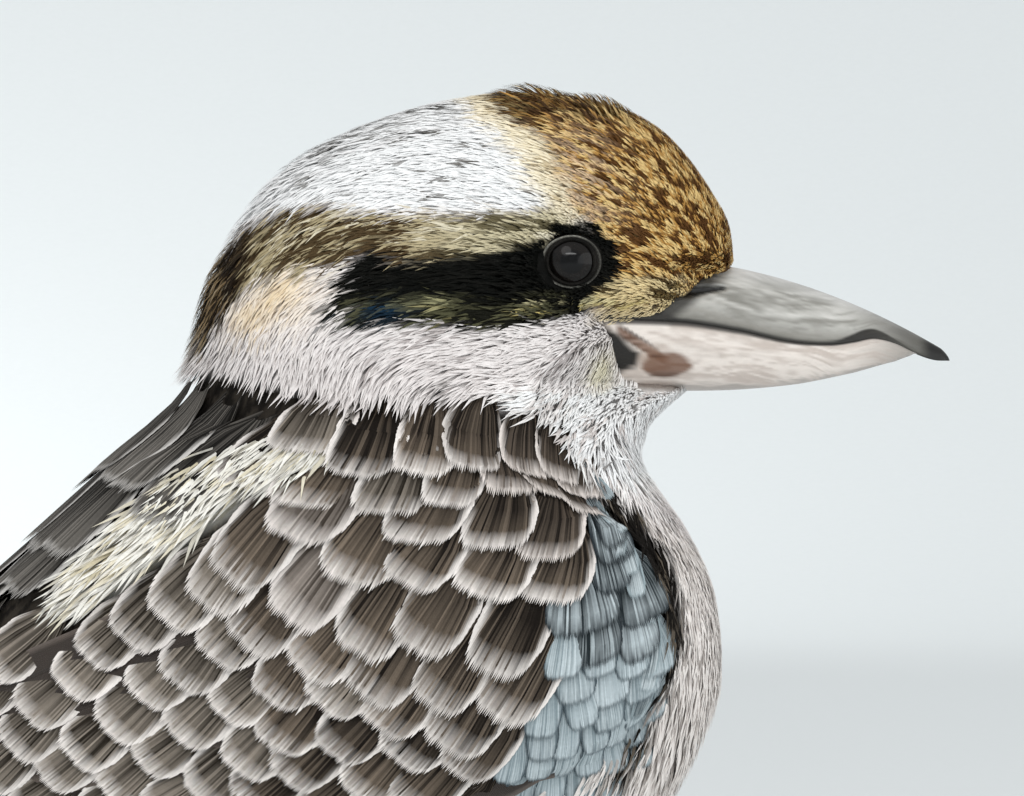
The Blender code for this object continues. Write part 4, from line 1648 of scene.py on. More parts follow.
@dataclass(frozen=True)
class ContourFeathers:
    """Rounded feathers that overlap like tiles, each built from two rows of barbs on a bent shaft."""

    pieces: Pieces
    material: Any
    barbs: int = 25
    start: float = 0.5  # share of the length at which the rounded outline starts
    bends: tuple = (4.2, 2.8)  # exponents of the outline across and along
    shares: tuple = (0.0, 0.28, 0.56, 0.80, 0.93, 1.0)  # where each barb's rows of vertices lie

    def outline(self, length: Array, width: Array) -> Pair:
        """The barbs' paths in each feather's own plane.

        Each barb leaves the shaft near the root, fans out and then runs nearly along the feather. It ends
        on a squarely rounded outline, |2 x / width| ** 4.2 + ((y - s) / (length - s)) ** 2.8 = 1, for s
        half the length. The ends stand evenly along it, but closer across than along.

        Args:
            length: the feathers' lengths.
            width: the feathers' widths.

        Returns:
            Distances aside and along, shaped (feathers, barbs on both sides, steps).
        """
        fine = np.linspace(0.0, math.pi / 2, 400)
        out, ahead = np.sin(fine) ** (2 / self.bends[0]), np.cos(fine) ** (2 / self.bends[1])
        run = np.concatenate([[0], np.cumsum(np.hypot(np.diff(out), 0.5 * np.diff(ahead)))])
        spread = (np.arange(self.barbs) + 0.5) / self.barbs * run[-1]
        out, ahead = np.interp(spread, run, out), np.interp(spread, run, ahead)
        way = np.repeat([-1.0, 1.0], self.barbs)
        out, ahead = (way * np.tile(out, 2))[:, None], np.tile(ahead, 2)[:, None]
        length, width = length[:, None, None], width[:, None, None]
        first, last = length * (0.02 + 0.10 * ahead), length * (self.start + (1 - self.start) * ahead)
        s = np.array(self.shares)
        bent = 2 * s * (1 - s)
        x = (0.35 * (1 - s) ** 2 + 0.97 * bent + s**2) * (out * width / 2)
        return x, (1 - s) ** 2 * first + bent * length * 0.40 + s**2 * last

    def margin(self, x: Array, y: Array, length: Array, width: Array) -> Pair:
        """Millimetres from places in a feather to its outline, measured aside and along.

        Args:
            x, y: distances aside and along.
            length, width: the feathers' sizes.

        Returns:
            Both distances.
        """
        share_x = np.clip(np.abs(2 * x / width), 0, 1)
        share_y = np.clip((y / length - self.start) / (1 - self.start), 0, 1)
        aside = width / 2 * (1 - share_y ** self.bends[1]) ** (1 / self.bends[0]) - np.abs(x)
        ahead = self.start + (1 - self.start) * (1 - share_x ** self.bends[0]) ** (1 / self.bends[1])
        return aside, ahead * length - y

    def grow(
        self, name: str, roots: Pair, sizes: Pair, colours: list[FeatherColours],
        layer: tuple[float, float] = (0.42, 1.02), lie: Array | None = None,
    ) -> None:
        """Makes feathers at the given roots.

        Args:
            name: the piece's name.
            roots: stations and angles.
            sizes: lengths and widths.
            colours: one set for each feather.
            layer: shares of the way from skin to outline at the root and at the tip.
            lie: each feather's direction, if it isn't the body's own.
        """
        rng = np.random.default_rng(len(name) + int(abs(float(roots[1].sum())) * 100) % 9973)
        chart = BODY.chart(*roots)
        length, width = sizes
        count, number, steps = len(chart.t), 2 * self.barbs, len(self.shares)
        flow = chart.back
        if lie is not None:
            flow = lie - chart.normal * (lie * chart.normal).sum(-1, keepdims=True)
        flow, turn = unit(flow), rng.normal(0, 0.05, (count, 1))
        heading = unit(flow + np.cross(flow, chart.normal) * turn)
        x, y = self.outline(length, width)
        ragged = 1 + rng.normal(0, 0.012, (count, number, 1)) * np.array(self.shares)
        x, y = x * ragged, y * ragged
        step_y, step_x = chart.step(heading), chart.step(np.cross(heading, chart.normal))
        t_path, a_path = (
            start[:, None, None] + along_[:, None, None] * y + aside[:, None, None] * x
            for start, along_, aside in zip((chart.t, chart.angle), step_y, step_x)
        )
        way = BODY.chart(t_path, a_path)
        share_y, share_x = y / length[:, None, None], x / (width[:, None, None] / 2)
        skin, top = WING.skin(t_path, a_path), WING.top(t_path, a_path)
        lift = layer[0] + (layer[1] - layer[0]) * share_y
        past = chart.t - WING.front(chart.angle)
        early = (past < 0.3) & (np.abs(chart.angle) > 0.95) & (lie is None)
        tilt = 0.26 * np.sign(chart.angle + 1e-9) * np.where(early, -1.5, 1)
        bulge = 0.32 * (1 - share_x**2) + tilt[:, None, None] * share_x + 0.36 * share_y
        bulge = bulge - 0.35 * (early & (past > 0))[:, None, None]
        height = skin + (top - skin) * lift + bulge + rng.uniform(-0.05, 0.05, (count, 1, 1))
        path = (way.point + way.normal * height[..., None]).reshape(count * number, steps, 3)
        gap = 1.5 * width[:, None] / number
        shape = np.interp(self.shares, (0, 0.3, 0.93, 1), (0.5, 1.0, 0.9, 0.3))
        wide = (1.5 * gap * rng.uniform(0.9, 1.15, (count, number))).reshape(-1, 1) * shape
        blades = Blades(path, way.normal.reshape(path.shape), wide)
        tint = self.tint(colours, x, y, length, width, rng)
        across = np.abs(chart.angle) / math.pi * 0.94 + 0.03
        down = (chart.t - chart.t.min()) / max(np.ptp(chart.t), 1e-6) * 0.94 + 0.03
        patch = 0.45 / math.sqrt(count)
        places = join(share_x, share_y - 0.5).reshape(count * number, steps, 2)
        middle = np.repeat(join(across, down), number, axis=0)
        uv = blades.spread(middle[:, None] + places * patch)
        uv = uv + blades.map(np.zeros((count * number, 2)), patch * 0.05)
        blades.make(name, self.pieces, self.material, Slot.DARK, tint, uv)

    def tint(
        self, colours: list[FeatherColours], x: Array, y: Array, length: Array, width: Array, rng: Any
    ) -> Array:
        """Darkest at the root, streaked barb by barb, and pale near the feather's outline.

        Args:
            colours: one set for each feather.
            x, y: the barbs' distances aside and along.
            length, width: the feathers' sizes.
            rng: gives the random draws.

        Returns:
            A colour for each step of each barb.
        """
        count, number, steps = x.shape
        length, width = length[:, None, None], width[:, None, None]
        rows = [np.stack([ink(getattr(c, key)) for c in colours]) for key in ("dark", "body", "fringe")]
        dark, body, fringe = (row[:, None, None, :] for row in rows)
        end, side = (np.array([getattr(c, key) for c in colours])[:, None, None] for key in ("end", "side"))
        aside, ahead = self.margin(x, y, length, width)
        near = np.minimum(aside / side, ahead / end) + rng.normal(0, 0.12, (count, number, 1))
        streak = rng.normal(0.22, 0.24, (count, number, 1)) + rng.normal(0, 0.10, (count, 1, 1))
        streak = np.clip(streak + smooth(y / length, 0.55, 0.9) * 0.38, 0, 1)
        tone = dark + (body - dark) * streak[..., None]
        tone = tone + (fringe - tone) * (1 - smooth(near, 0.35, 1.35))[..., None]
        shade = rng.uniform(0.90, 1.08, (count, 1, 1, 1)) * rng.uniform(0.94, 1.05, (count, number, 1, 1))
        return (tone * shade).reshape(count * number, steps, 3)


@dataclass(frozen=True)
class WingPlumage:
    """The small firm feathers: arcs of scapulars and coverts, the blue patch, and the mantle."""

    row_gap: float = 10.3
    feather_gap: float = 12.6
    arc: tuple = (1.47, 0.65, 0.75)  # the angle where rows hang lowest, and their slopes above and below it
    blue_edge: tuple = (  # the blue patch's rear boundary, as heights and x values
        (95, 102.4, 109, 120.5, 133.5, 146.6, 157.4, 166),
        (57, 60.0, 60.5, 66.5, 70.8, 72.7, 75.6, 79),
    )

    def size(self, point: Array) -> Array:
        """Feathers are smallest on the shoulder and full size 45 mm from it."""
        away = np.hypot(point[..., 0] - 72, point[..., 2] - 168)
        return np.interp(away, (0, 22, 45, 80, 110), (0.66, 0.86, 1.06, 0.98, 0.92))

    def spaced(self, t: Array, angle: Array, gap: float, start: float, power_: float = 0.6) -> Pair:
        """Places along a line on the body, a gap apart times the size there raised to a power.

        Args:
            t, angle: the line.
            gap: millimetres at size 1.
            start: gaps before the first place.
            power_: that power.

        Returns:
            Stations and angles.
        """
        point = BODY.point(t, angle)
        steps = np.linalg.norm(np.diff(point, axis=0), axis=1) / (gap * self.size(point[1:]) ** power_)
        run = np.concatenate([[0], np.cumsum(steps)])
        at = np.arange(start, run[-1])
        return np.interp(at, run, t), np.interp(at, run, angle)

    def rows(self) -> Pair:
        """Roots in staggered arcs from the blue patch's edge backwards, and two rows at the wing's front.

        Returns:
            Stations and angles.
        """
        low, above, below = self.arc
        line = np.linspace(5.0, 10.8, 300)
        starts, _ = self.spaced(line, np.full(300, low), self.row_gap, 0.0, 1.0)
        places = []
        for number, start in enumerate(starts):
            angle = np.linspace(2.5, 0.3, 300)
            t = start - above * np.clip(low - angle, 0, None) - below * np.clip(angle - low, 0, None)
            brown = (t > WING.front(angle) + 0.42) & ~self.is_blue(BODY.point(t, angle), 4.5)
            if brown.sum() > 5:
                places.append(self.spaced(t[brown], angle[brown], self.feather_gap, 0.5 * (number % 2)))
        angle = np.linspace(2.1, 0.98, 120)
        for past, start in ((-0.34, 0.1), (0.16, 0.6)):
            places.append(self.spaced(WING.front(angle) + past, angle, self.feather_gap * 0.92, start))
        return tuple(np.concatenate(some) for some in zip(*places))

    def make_brown(self, side: Side, grower: ContourFeathers) -> None:
        """The rows of brown feathers with pale fringes, from the shoulder down the flank.

        Args:
            side: which wing.
            grower: makes the feathers.
        """
        rng = np.random.default_rng(31)
        t, angle = self.rows()
        t, angle = t + rng.normal(0, 0.02, len(t)), angle + rng.normal(0, 0.008, len(t))
        point = BODY.point(t, angle)
        upper, lower = WING.across(t, angle)
        keep = ((upper > 4) | (t < 6.9)) & ((lower > 4) | (t < 6.6)) & (point[:, 2] > 96)
        keep &= (WING.buff_patch(t, angle) < 0.4) & (angle > np.interp(t, (7, 8, 9), (1.0, 0.84, 0.72)))
        t, angle, point = t[keep], angle[keep], point[keep]
        size = self.size(point)
        length = self.row_gap * 2.1 * size * rng.uniform(0.97, 1.06, len(t))
        width = self.feather_gap * 1.13 * size**0.6 * rng.uniform(0.95, 1.06, len(t))
        x, z = point[:, 0], point[:, 2]
        pale = (np.abs(x - np.interp(z, (150, 175), (24, 35))) < 7) & (z > 146) & (z < 172)
        kinds = np.where(size < 0.8, 2, rng.random(len(t)) < smooth(-x, -45, 5))
        kinds = np.where(pale, 3, kinds)
        colours = [(SCAPULAR, REAR_SCAPULAR, SHOULDER, PALE_SCAPULAR)[kind] for kind in kinds]
        grower.grow("scapulars_" + side.word, (t, angle * side.value), (length, width), colours)

    def make_blue(self, side: Side, grower: ContourFeathers) -> None:
        """The blue patch: slim feathers along its front, broad ones high behind them, small ones below.

        Args:
            side: which wing.
            grower: makes the feathers.
        """
        rng = np.random.default_rng(51)
        places = []  # x, z, length, width, lean and colours
        for row, height in enumerate(np.arange(162.0, 97.0, -6.0)):
            first = np.interp(height, *self.blue_edge) - 2.5
            last = np.interp(height, *MARKINGS.wing_front) - (4.5 if height > 124 else 2.4)
            broad = height > 132
            number = max(1, round((last - first) / (7.5 if broad else 5.6)))
            for k in range(number + row % 2):
                place = first + (last - first) * (k + (0.0 if row % 2 else 0.5)) / number
                lean = np.interp(height, (100, 130, 165), (-0.08, 0.12, 0.32)) + 0.02 * (place - first)
                width = 1.35 * (last - first) / number
                colours = GREY_BLUE if broad else PALE_BLUE
                places.append((place, height, 15.5 if broad else 13.0, max(width, 6.0), lean, colours))
        for share in np.linspace(0, 1, 10):
            height = 165 - 40 * share
            place = np.interp(height, *MARKINGS.wing_front) - 3.4
            places.append((place, height, 13.5, 4.2, 0.42 - 0.5 * share, SLIM_BLUE))
        x, z, length, width, lean = np.array([some[:5] for some in places]).T
        lie = join(np.sin(lean), np.zeros(len(lean)), -np.cos(lean))
        t, angle = BODY.locate(x, z)
        sizes = (length * rng.uniform(0.93, 1.07, len(x)), width * rng.uniform(0.93, 1.07, len(x)))
        colours = [some[5] for some in places]
        roots = (t, angle * side.value)
        grower.grow("blue_coverts_" + side.word, roots, sizes, colours, (0.45, 0.98), lie)

    def make_mantle(self, grower: ContourFeathers) -> None:
        """Long dark feathers down the middle of the back, from the neck to between the wings.

        Args:
            grower: makes the feathers.
        """
        rng = np.random.default_rng(71)
        roots = []
        rows = np.interp(np.arange(0, 118, 13.5), (0, 24, 52, 85, 118), (6.8, 8, 9, 10, 11))
        for number, t in enumerate(rows):
            edge = np.interp(t, (6.8, 7.6, 8.5, 9.5, 10.5, 11), (0.86, 0.62, 0.52, 0.44, 0.34, 0.2))
            girth = np.linalg.norm(BODY.chart(np.array([t]), np.array([0.3])).around)
            angle = np.arange(-edge + (number % 2) * 5.5 / girth, edge, 11.0 / girth)
            roots += [(t + 0.12 * abs(a) + rng.normal(0, 0.03), a + rng.normal(0, 0.015)) for a in angle]
        t, angle = np.array(roots).T
        sizes = (33.0 * rng.uniform(0.9, 1.1, len(t)), 13.5 * rng.uniform(0.92, 1.08, len(t)))
        grower.grow("mantle_feathers", (t, angle), sizes, [MANTLE_FEATHER] * len(t), (0.35, 1.02))

    def is_blue(self, point: Array, margin: float = 0.0) -> Array:
        """Whether a root lies in the blue patch, or within a margin behind it."""
        return point[:, 0] > np.interp(point[:, 2], *self.blue_edge) - margin


# ---- Bill ----


@dataclass(frozen=True)
class Bill:
    """The closed bill: a grey upper half over a pale lower half, both lofts along X."""

    edge: tuple = (
        (75.3, 194.8), (96.0, 194.0), (108.5, 192.0), (119.0, 189.7), (128.0, 189.1), (133.0, 189.7),
        (137.5, 190.5), (142.0, 189.5), (147.0, 187.2), (151.0, 185.8), (154.4, 185.6),
    )
    underside: tuple = (
        (75.3, 178.8), (92.0, 178.5), (107.0, 178.7), (121.0, 180.0), (133.0, 182.4), (142.5, 185.0),
        (147.5, 186.8),
    )
    lower_tip: float = 147.5
    # corner: the gape's crease, pressed in and painted near-black as its shadow.
    corner: Region = Region(
        ((77.0, 193.2), (81.5, 191.2), (85.8, 187.2), (85.2, 184.2), (81.6, 182.6), (77.0, 183.0))
    )
    tip_half: float = 1.2  # half width at the tip
    widening: float = 17.3
    culmen: tuple = (187.2, 47.9, 27.1)  # height at the tip, rise and fall to the gape
    bow: float = 1.9
    rings: int = 240
    sides: int = 72

    def half_width(self, x: Array) -> Array:
        """Grows from tip to gape by 1 - u, bowed by u, for u the share of the way to the tip."""
        u = np.clip((np.asarray(x, float) - GAPE[0]) / (BILL_TIP_X - GAPE[0]), 0, 1)
        return self.tip_half + self.widening * (1 - u) * (1 + 0.15 * u)

    def ridge(self, x: Array) -> Array:
        """The culmen's height: a parabola in the share that is left to the tip."""
        left = 1 - (x - GAPE[0]) / (BILL_TIP_X - GAPE[0])
        return self.culmen[0] + self.culmen[1] * left - self.culmen[2] * left**2

    def reach_at(self, x: Array, z: Array) -> Array:
        """How far the bill's surface lies from the middle plane at a height, or 0 above and below it.

        Args:
            x, z: places in side view.

        Returns:
            Millimetres.
        """
        edge = along(self.edge, x)
        tall = np.where(z > edge, self.ridge(x) - edge, along(self.underside, x) - edge)
        share = np.clip((z - edge) / tall, 0, 1)
        return self.half_width(x) * (1 - share**self.bow) ** (1 / self.bow) * (x < self.lower_tip)

    def half(self, upper: bool) -> Triple:
        """One half of the bill: arches over its cutting edge, closed by a hollowed face.

        Args:
            upper: whether it is the upper half.

        Returns:
            Vertices, faces, and for each vertex its share of the way from the cutting edge.
        """
        last = BILL_TIP_X if upper else self.lower_tip
        first = GAPE[0] - 4.0
        x = first + (last - first) * np.sin(np.linspace(0, math.pi / 2, self.rings))
        end = np.sqrt(np.clip(1 - (1 - np.clip((last - x) / 2.2, 0, 1)) ** 2, 0.03, 1))
        half = self.half_width(x) * (1.0 if upper else 0.955) * end
        edge = along(self.edge, x) + (0.0 if upper else 0.5)
        reach = (self.ridge(x) if upper else along(self.underside, x)) - along(self.edge, x)
        reach = np.where(np.abs(reach) < 0.9, np.sign(reach) * 0.9, reach) * end
        angle = np.linspace(-math.pi / 2, math.pi / 2, self.sides)[None, :]
        y = half[:, None] * power(np.sin(angle), 2 / self.bow)
        rise = power(np.cos(angle), 2 / self.bow)
        z = edge[:, None] + reach[:, None] * rise
        over = x[:, None] + 0 * z
        if upper:
            hole = smooth(-self.nostril(over, z), -1.0, 0.1)
            groove = np.exp(-(((z - 200.4 + (over - 98) * 0.14) / 1.4) ** 2)) * fade(over, 98, 120)
            lip = np.exp(-((rise / 0.10) ** 2)) * 0.25 * (half / half.max())[:, None]
            y = y - np.sign(y) * (1.2 * hole + 0.35 * groove - lip)
        else:
            ledge = np.exp(-(((rise - 0.55) / 0.16) ** 2)) * 0.3 * fade(over, 100, 128)
            y = y - np.sign(y) * (ledge + 1.1 * self.corner.inside(over, z, 1.2))
        ring = join(over, y, z)
        under = np.linspace(0.8, -0.8, 7)[None, :]
        floor_y = half[:, None] * under
        floor_z = edge[:, None] + (1 - under**2) * (1.2 if upper else -0.1) * np.minimum(end, 1)[:, None]
        base = join(x[:, None] + 0 * floor_y, floor_y, floor_z)
        points = np.concatenate([ring, base], axis=1)
        rises = np.zeros(points.shape[:2])
        rises[:, : self.sides] = rise
        flat = points.reshape(-1, 3)
        return flat, outward(flat, loft_faces(len(x), points.shape[1])), rises.reshape(-1)

    def nostril(self, x: Array, z: Array) -> Array:
        """Millimetres to the nostril, a slit that thins towards the tip, with more weight across it.

        Args:
            x, z: places in side view.

        Returns:
            The distances.
        """
        share = np.clip((x - 96.0) / 8.0, 0, 1)
        aside = z - (200.4 + 1.0 * share)
        return np.hypot(np.maximum(np.abs(x - 100.0) - 4.0, 0), np.abs(aside) * 1.6) - (1.25 - 0.8 * share)

    def grain(self, point: Array) -> Array:
        """Wavy lengthwise streaks: noise drawn out along the bill over a slowly swaying height.

        Args:
            point: places on the bill.

        Returns:
            Values from 0 to 1.
        """
        sway = value_noise(point / (11.0, 30.0, 8.0), 3) * 6.0
        height = point[:, 2] - np.interp(point[:, 0], *np.array(self.edge).T) + sway
        total = 0.0
        for part, reach, thin in ((0.34, 12.0, 1.5), (0.36, 6.0, 0.7), (0.30, 2.6, 0.36)):
            places = join(point[:, 0] / reach, height / thin, np.sign(point[:, 1]))
            total = total + value_noise(places, 5) * part
        return 1 / (1 + np.exp(-1.7 * (total - 0.5) / 0.19))

    def upper_tint(self, point: Array, rise: Array) -> Array:
        """Light grey with darker streaks and a dark tip, with painted shadow along the cutting edge, and
        painted shade under the feathers' edge and in the nostril.

        Args:
            point, rise: vertices, and their shares up from the edge.

        Returns:
            Colours.
        """
        x, z = point[:, 0], point[:, 2]
        grain = self.grain(point)
        # The dark band along the cutting edge is a painted shadow of the gap between the halves, widest
        # where the edge dips near x 137.5 and by the gape.
        bump = 0.06 + 0.30 * np.exp(-(((x - 137.5) / 5.5) ** 2)) + 0.25 * fade(x, 84, 95)
        # border: painted shade on the bill just under the edge of the forehead feathers.
        border = smooth(BARE_BILL.depth(x, z), -3.8, -1.2) * fade(x, 101, 107)
        layers = (
            ("cfcdc8", grain),
            ("c9c8c6", smooth(rise, 0.72, 0.98) * 0.5),
            ("5f5b50", smooth(0.34 + (grain - 0.5) * 0.35 - rise, 0.0, 0.32) * 0.7),
            ("191611", smooth(bump - rise, -0.04, 0.04)),
            ("3a3831", smooth(x + (grain - 0.5) * 8, 130, 149) * 0.85),
            ("0b0a08", smooth(x, 147.0, 150.5)),
            ("1f1c16", border * 0.9),
            # The nostril's slit is painted near-black: painted shade in the hole.
            ("0d0b09", smooth(-self.nostril(x, z), -0.9, 0.2)),
        )
        return lay(ink("7d7b74"), layers)

    def lower_tint(self, point: Array, rise: Array) -> Array:
        """Pinkish cream with grey streaks and a brown patch by the gape, with painted shadow along the top
        edge and in the gape's crease, and painted shade on the underside.

        Args:
            point, rise: vertices, and their shares down from the edge.

        Returns:
            Colours.
        """
        x, z = point[:, 0], point[:, 2]
        grain = self.grain(point)
        oval = 1.0 - np.hypot((x - 91.8) / 5.7, (z - 184.6) / 2.8)
        oval = smooth(oval + (grain - 0.5) * 0.25, -0.12, 0.2)
        slant = z + (x - 82.0) * 0.62
        band = smooth(-np.abs(slant - 191.6), -1.5, -0.7) * smooth(x, 80.0, 82.0) * fade(x, 90, 94)
        line = smooth(-np.abs(slant - 193.0), -0.55, -0.1) * smooth(x, 80.5, 83.0) * fade(x, 86, 92)
        layers = (
            ("ebe1d9", smooth(grain, 0.05, 0.75)),
            # Grey towards the underside: painted shade where the bill turns downwards.
            ("877f79", smooth(rise + (grain - 0.5) * 0.2, 0.86, 1.0) * 0.65),
            ("8f8881", smooth(x + (grain - 0.5) * 8, 130, 147) * 0.7),
            # The dark top edge is a painted shadow of the gap under the upper half.
            ("2a241f", smooth(0.09 - rise, -0.03, 0.03)),
            ("a98f7c", spot(x, z, (88.5, 186.0), (3.0, 2.6)) * 0.7),
            ("7c5740", band * (0.60 + 0.40 * grain)),
            ("6e472e", oval * (0.74 + 0.26 * grain)),
            ("4a3124", oval * smooth(184.2 - z, 0.4, 2.2) * 0.8),
            ("4a3124", band * smooth(grain, 0.55, 0.8) * 0.6),
            ("3c2c22", line * 0.8),
            # The gape's crease is painted near-black as its shadow.
            ("17130f", self.corner.inside(x, z + (grain - 0.5) * 1.2, 0.9)),
        )
        return lay(ink("c9bcb3"), layers)

    def make(self, pieces: Pieces) -> None:
        """Builds both halves and dresses them.

        Args:
            pieces: makes them.
        """
        for upper, paint, word, slot in (
            (True, self.upper_tint, "upper", Slot.HORN_DARK),
            (False, self.lower_tint, "lower", Slot.HORN_PALE),
        ):
            points, faces, rise = self.half(upper)
            material = HornFinish(word + " bill horn").material()
            shown = {"tint": paint(points, rise)}
            pieces.make(word + "_bill", points, faces, material, slot, ("bill_" + word,), shown)


# ---- Eyes ----


@dataclass(frozen=True)
class Eyes:
    """Two dark eyes, each a ball in a ring of bare lids."""

    radius: float = EYE_RADIUS
    opening: tuple = (4.7, 4.6)  # half width and half height between the lids
    ring: tuple = (6.9, 5.95)  # half width and half height of the lids' outer edge
    ball_grid: tuple = (60, 72)  # rings, and points in each
    lid_grid: tuple = (96, 20)

    def ball(self, side: Side) -> Triple:
        """The eyeball: circles round its outward axis, with a slightly raised cornea.

        Args:
            side: which eye.

        Returns:
            Vertices, faces, and for each vertex its angle off the axis, its turn and 0.
        """
        rings, sides = self.ball_grid
        off, turn = np.linspace(0.012, math.pi - 0.012, rings)[:, None], circle(sides)
        points = self.at(off, turn, self.radius + 0.25 * np.exp(-((np.degrees(off) / 30) ** 2)), side)
        facts = join(np.degrees(off), turn * 4, 0)
        return points, outward(points, loft_faces(rings, sides)), facts.reshape(-1, 3)

    def at(self, off: Array, turn: Array, reach: Array, side: Side) -> Array:
        """Points a reach from the eye's middle, at an angle off its outward axis and a turn round it.

        Args:
            off, turn, reach: those numbers.
            side: which eye.

        Returns:
            The points.
        """
        flat = reach * np.sin(off)
        points = join(flat * np.cos(turn), reach * np.cos(off) * side.value, flat * np.sin(turn))
        return points.reshape(-1, 3) + (EYE[0], side.value * EYE[1], EYE[2])

    def lids(self, side: Side) -> Triple:
        """A closed ring on the eyeball: dark folds round the opening, with a pale rim outside them.

        Args:
            side: which eye.

        Returns:
            Vertices, faces, and for each vertex its share of the pale rim, which is broadest at the rear.
        """
        turn, loop = circle(self.lid_grid[0])[:, None], circle(self.lid_grid[1])
        inner = np.hypot(self.opening[0] * np.cos(turn), self.opening[1] * np.sin(turn))
        inner = inner * (1 + 0.07 * np.exp(-((np.cos(turn) + 1) ** 2) * 14))
        outer = np.hypot(self.ring[0] * np.cos(turn), self.ring[1] * np.sin(turn))
        share = (1 - np.cos(loop)) / 2
        reach = inner + (outer - inner) * share
        off = np.arcsin(np.clip(reach / (self.radius + 0.2), 0, 0.999))
        broad = 0.06 + 0.08 * smooth(-np.cos(turn), 0.2, 1.0)
        rim = smooth(broad - np.abs(share - 0.68), -0.06, 0.04)
        rim = rim * (1 - 0.75 * smooth(np.cos(turn), 0.1, 0.8))
        crease = 0.10 * np.sin(share * 12.0) * smooth(share, 0.15, 0.4)
        thick = 0.22 + 0.36 * np.exp(-(((share - 0.10) / 0.14) ** 2)) + crease + 0.22 * rim
        high = self.radius + 0.05 + np.where(np.sin(loop) > 0, thick, -0.35)
        points = self.at(off, turn, high, side)
        return points, outward(points, halved(ring_faces(*self.lid_grid, True))), rim.reshape(-1)

    def make(self, pieces: Pieces) -> None:
        """Builds both eyes with their lids.

        Args:
            pieces: makes them.
        """
        eye = EyeFinish().material()
        lid = HideFinish("eyelid skin", "100f0d", "211f1c", 1500.0, 0.6, 0.0001, "9d9b92", 0.1).material()
        for side in Side:
            word = side.word
            points, faces, facts = self.ball(side)
            pieces.make("eyeball_" + word, points, faces, eye, Slot.EYE, ("eye_" + word,), {"iris": facts})
            points, faces, rim = self.lids(side)
            pieces.make("eyelids_" + word, points, faces, lid, Slot.SCALY, (), {"rim": rim})


# ---- Legs and feet ----


@dataclass(frozen=True)
class Toe:
    """One toe's length, heading in degrees outwards, root radius and number of pads."""

    name: str
    length: float
    heading: float
    radius: float
    pads: int


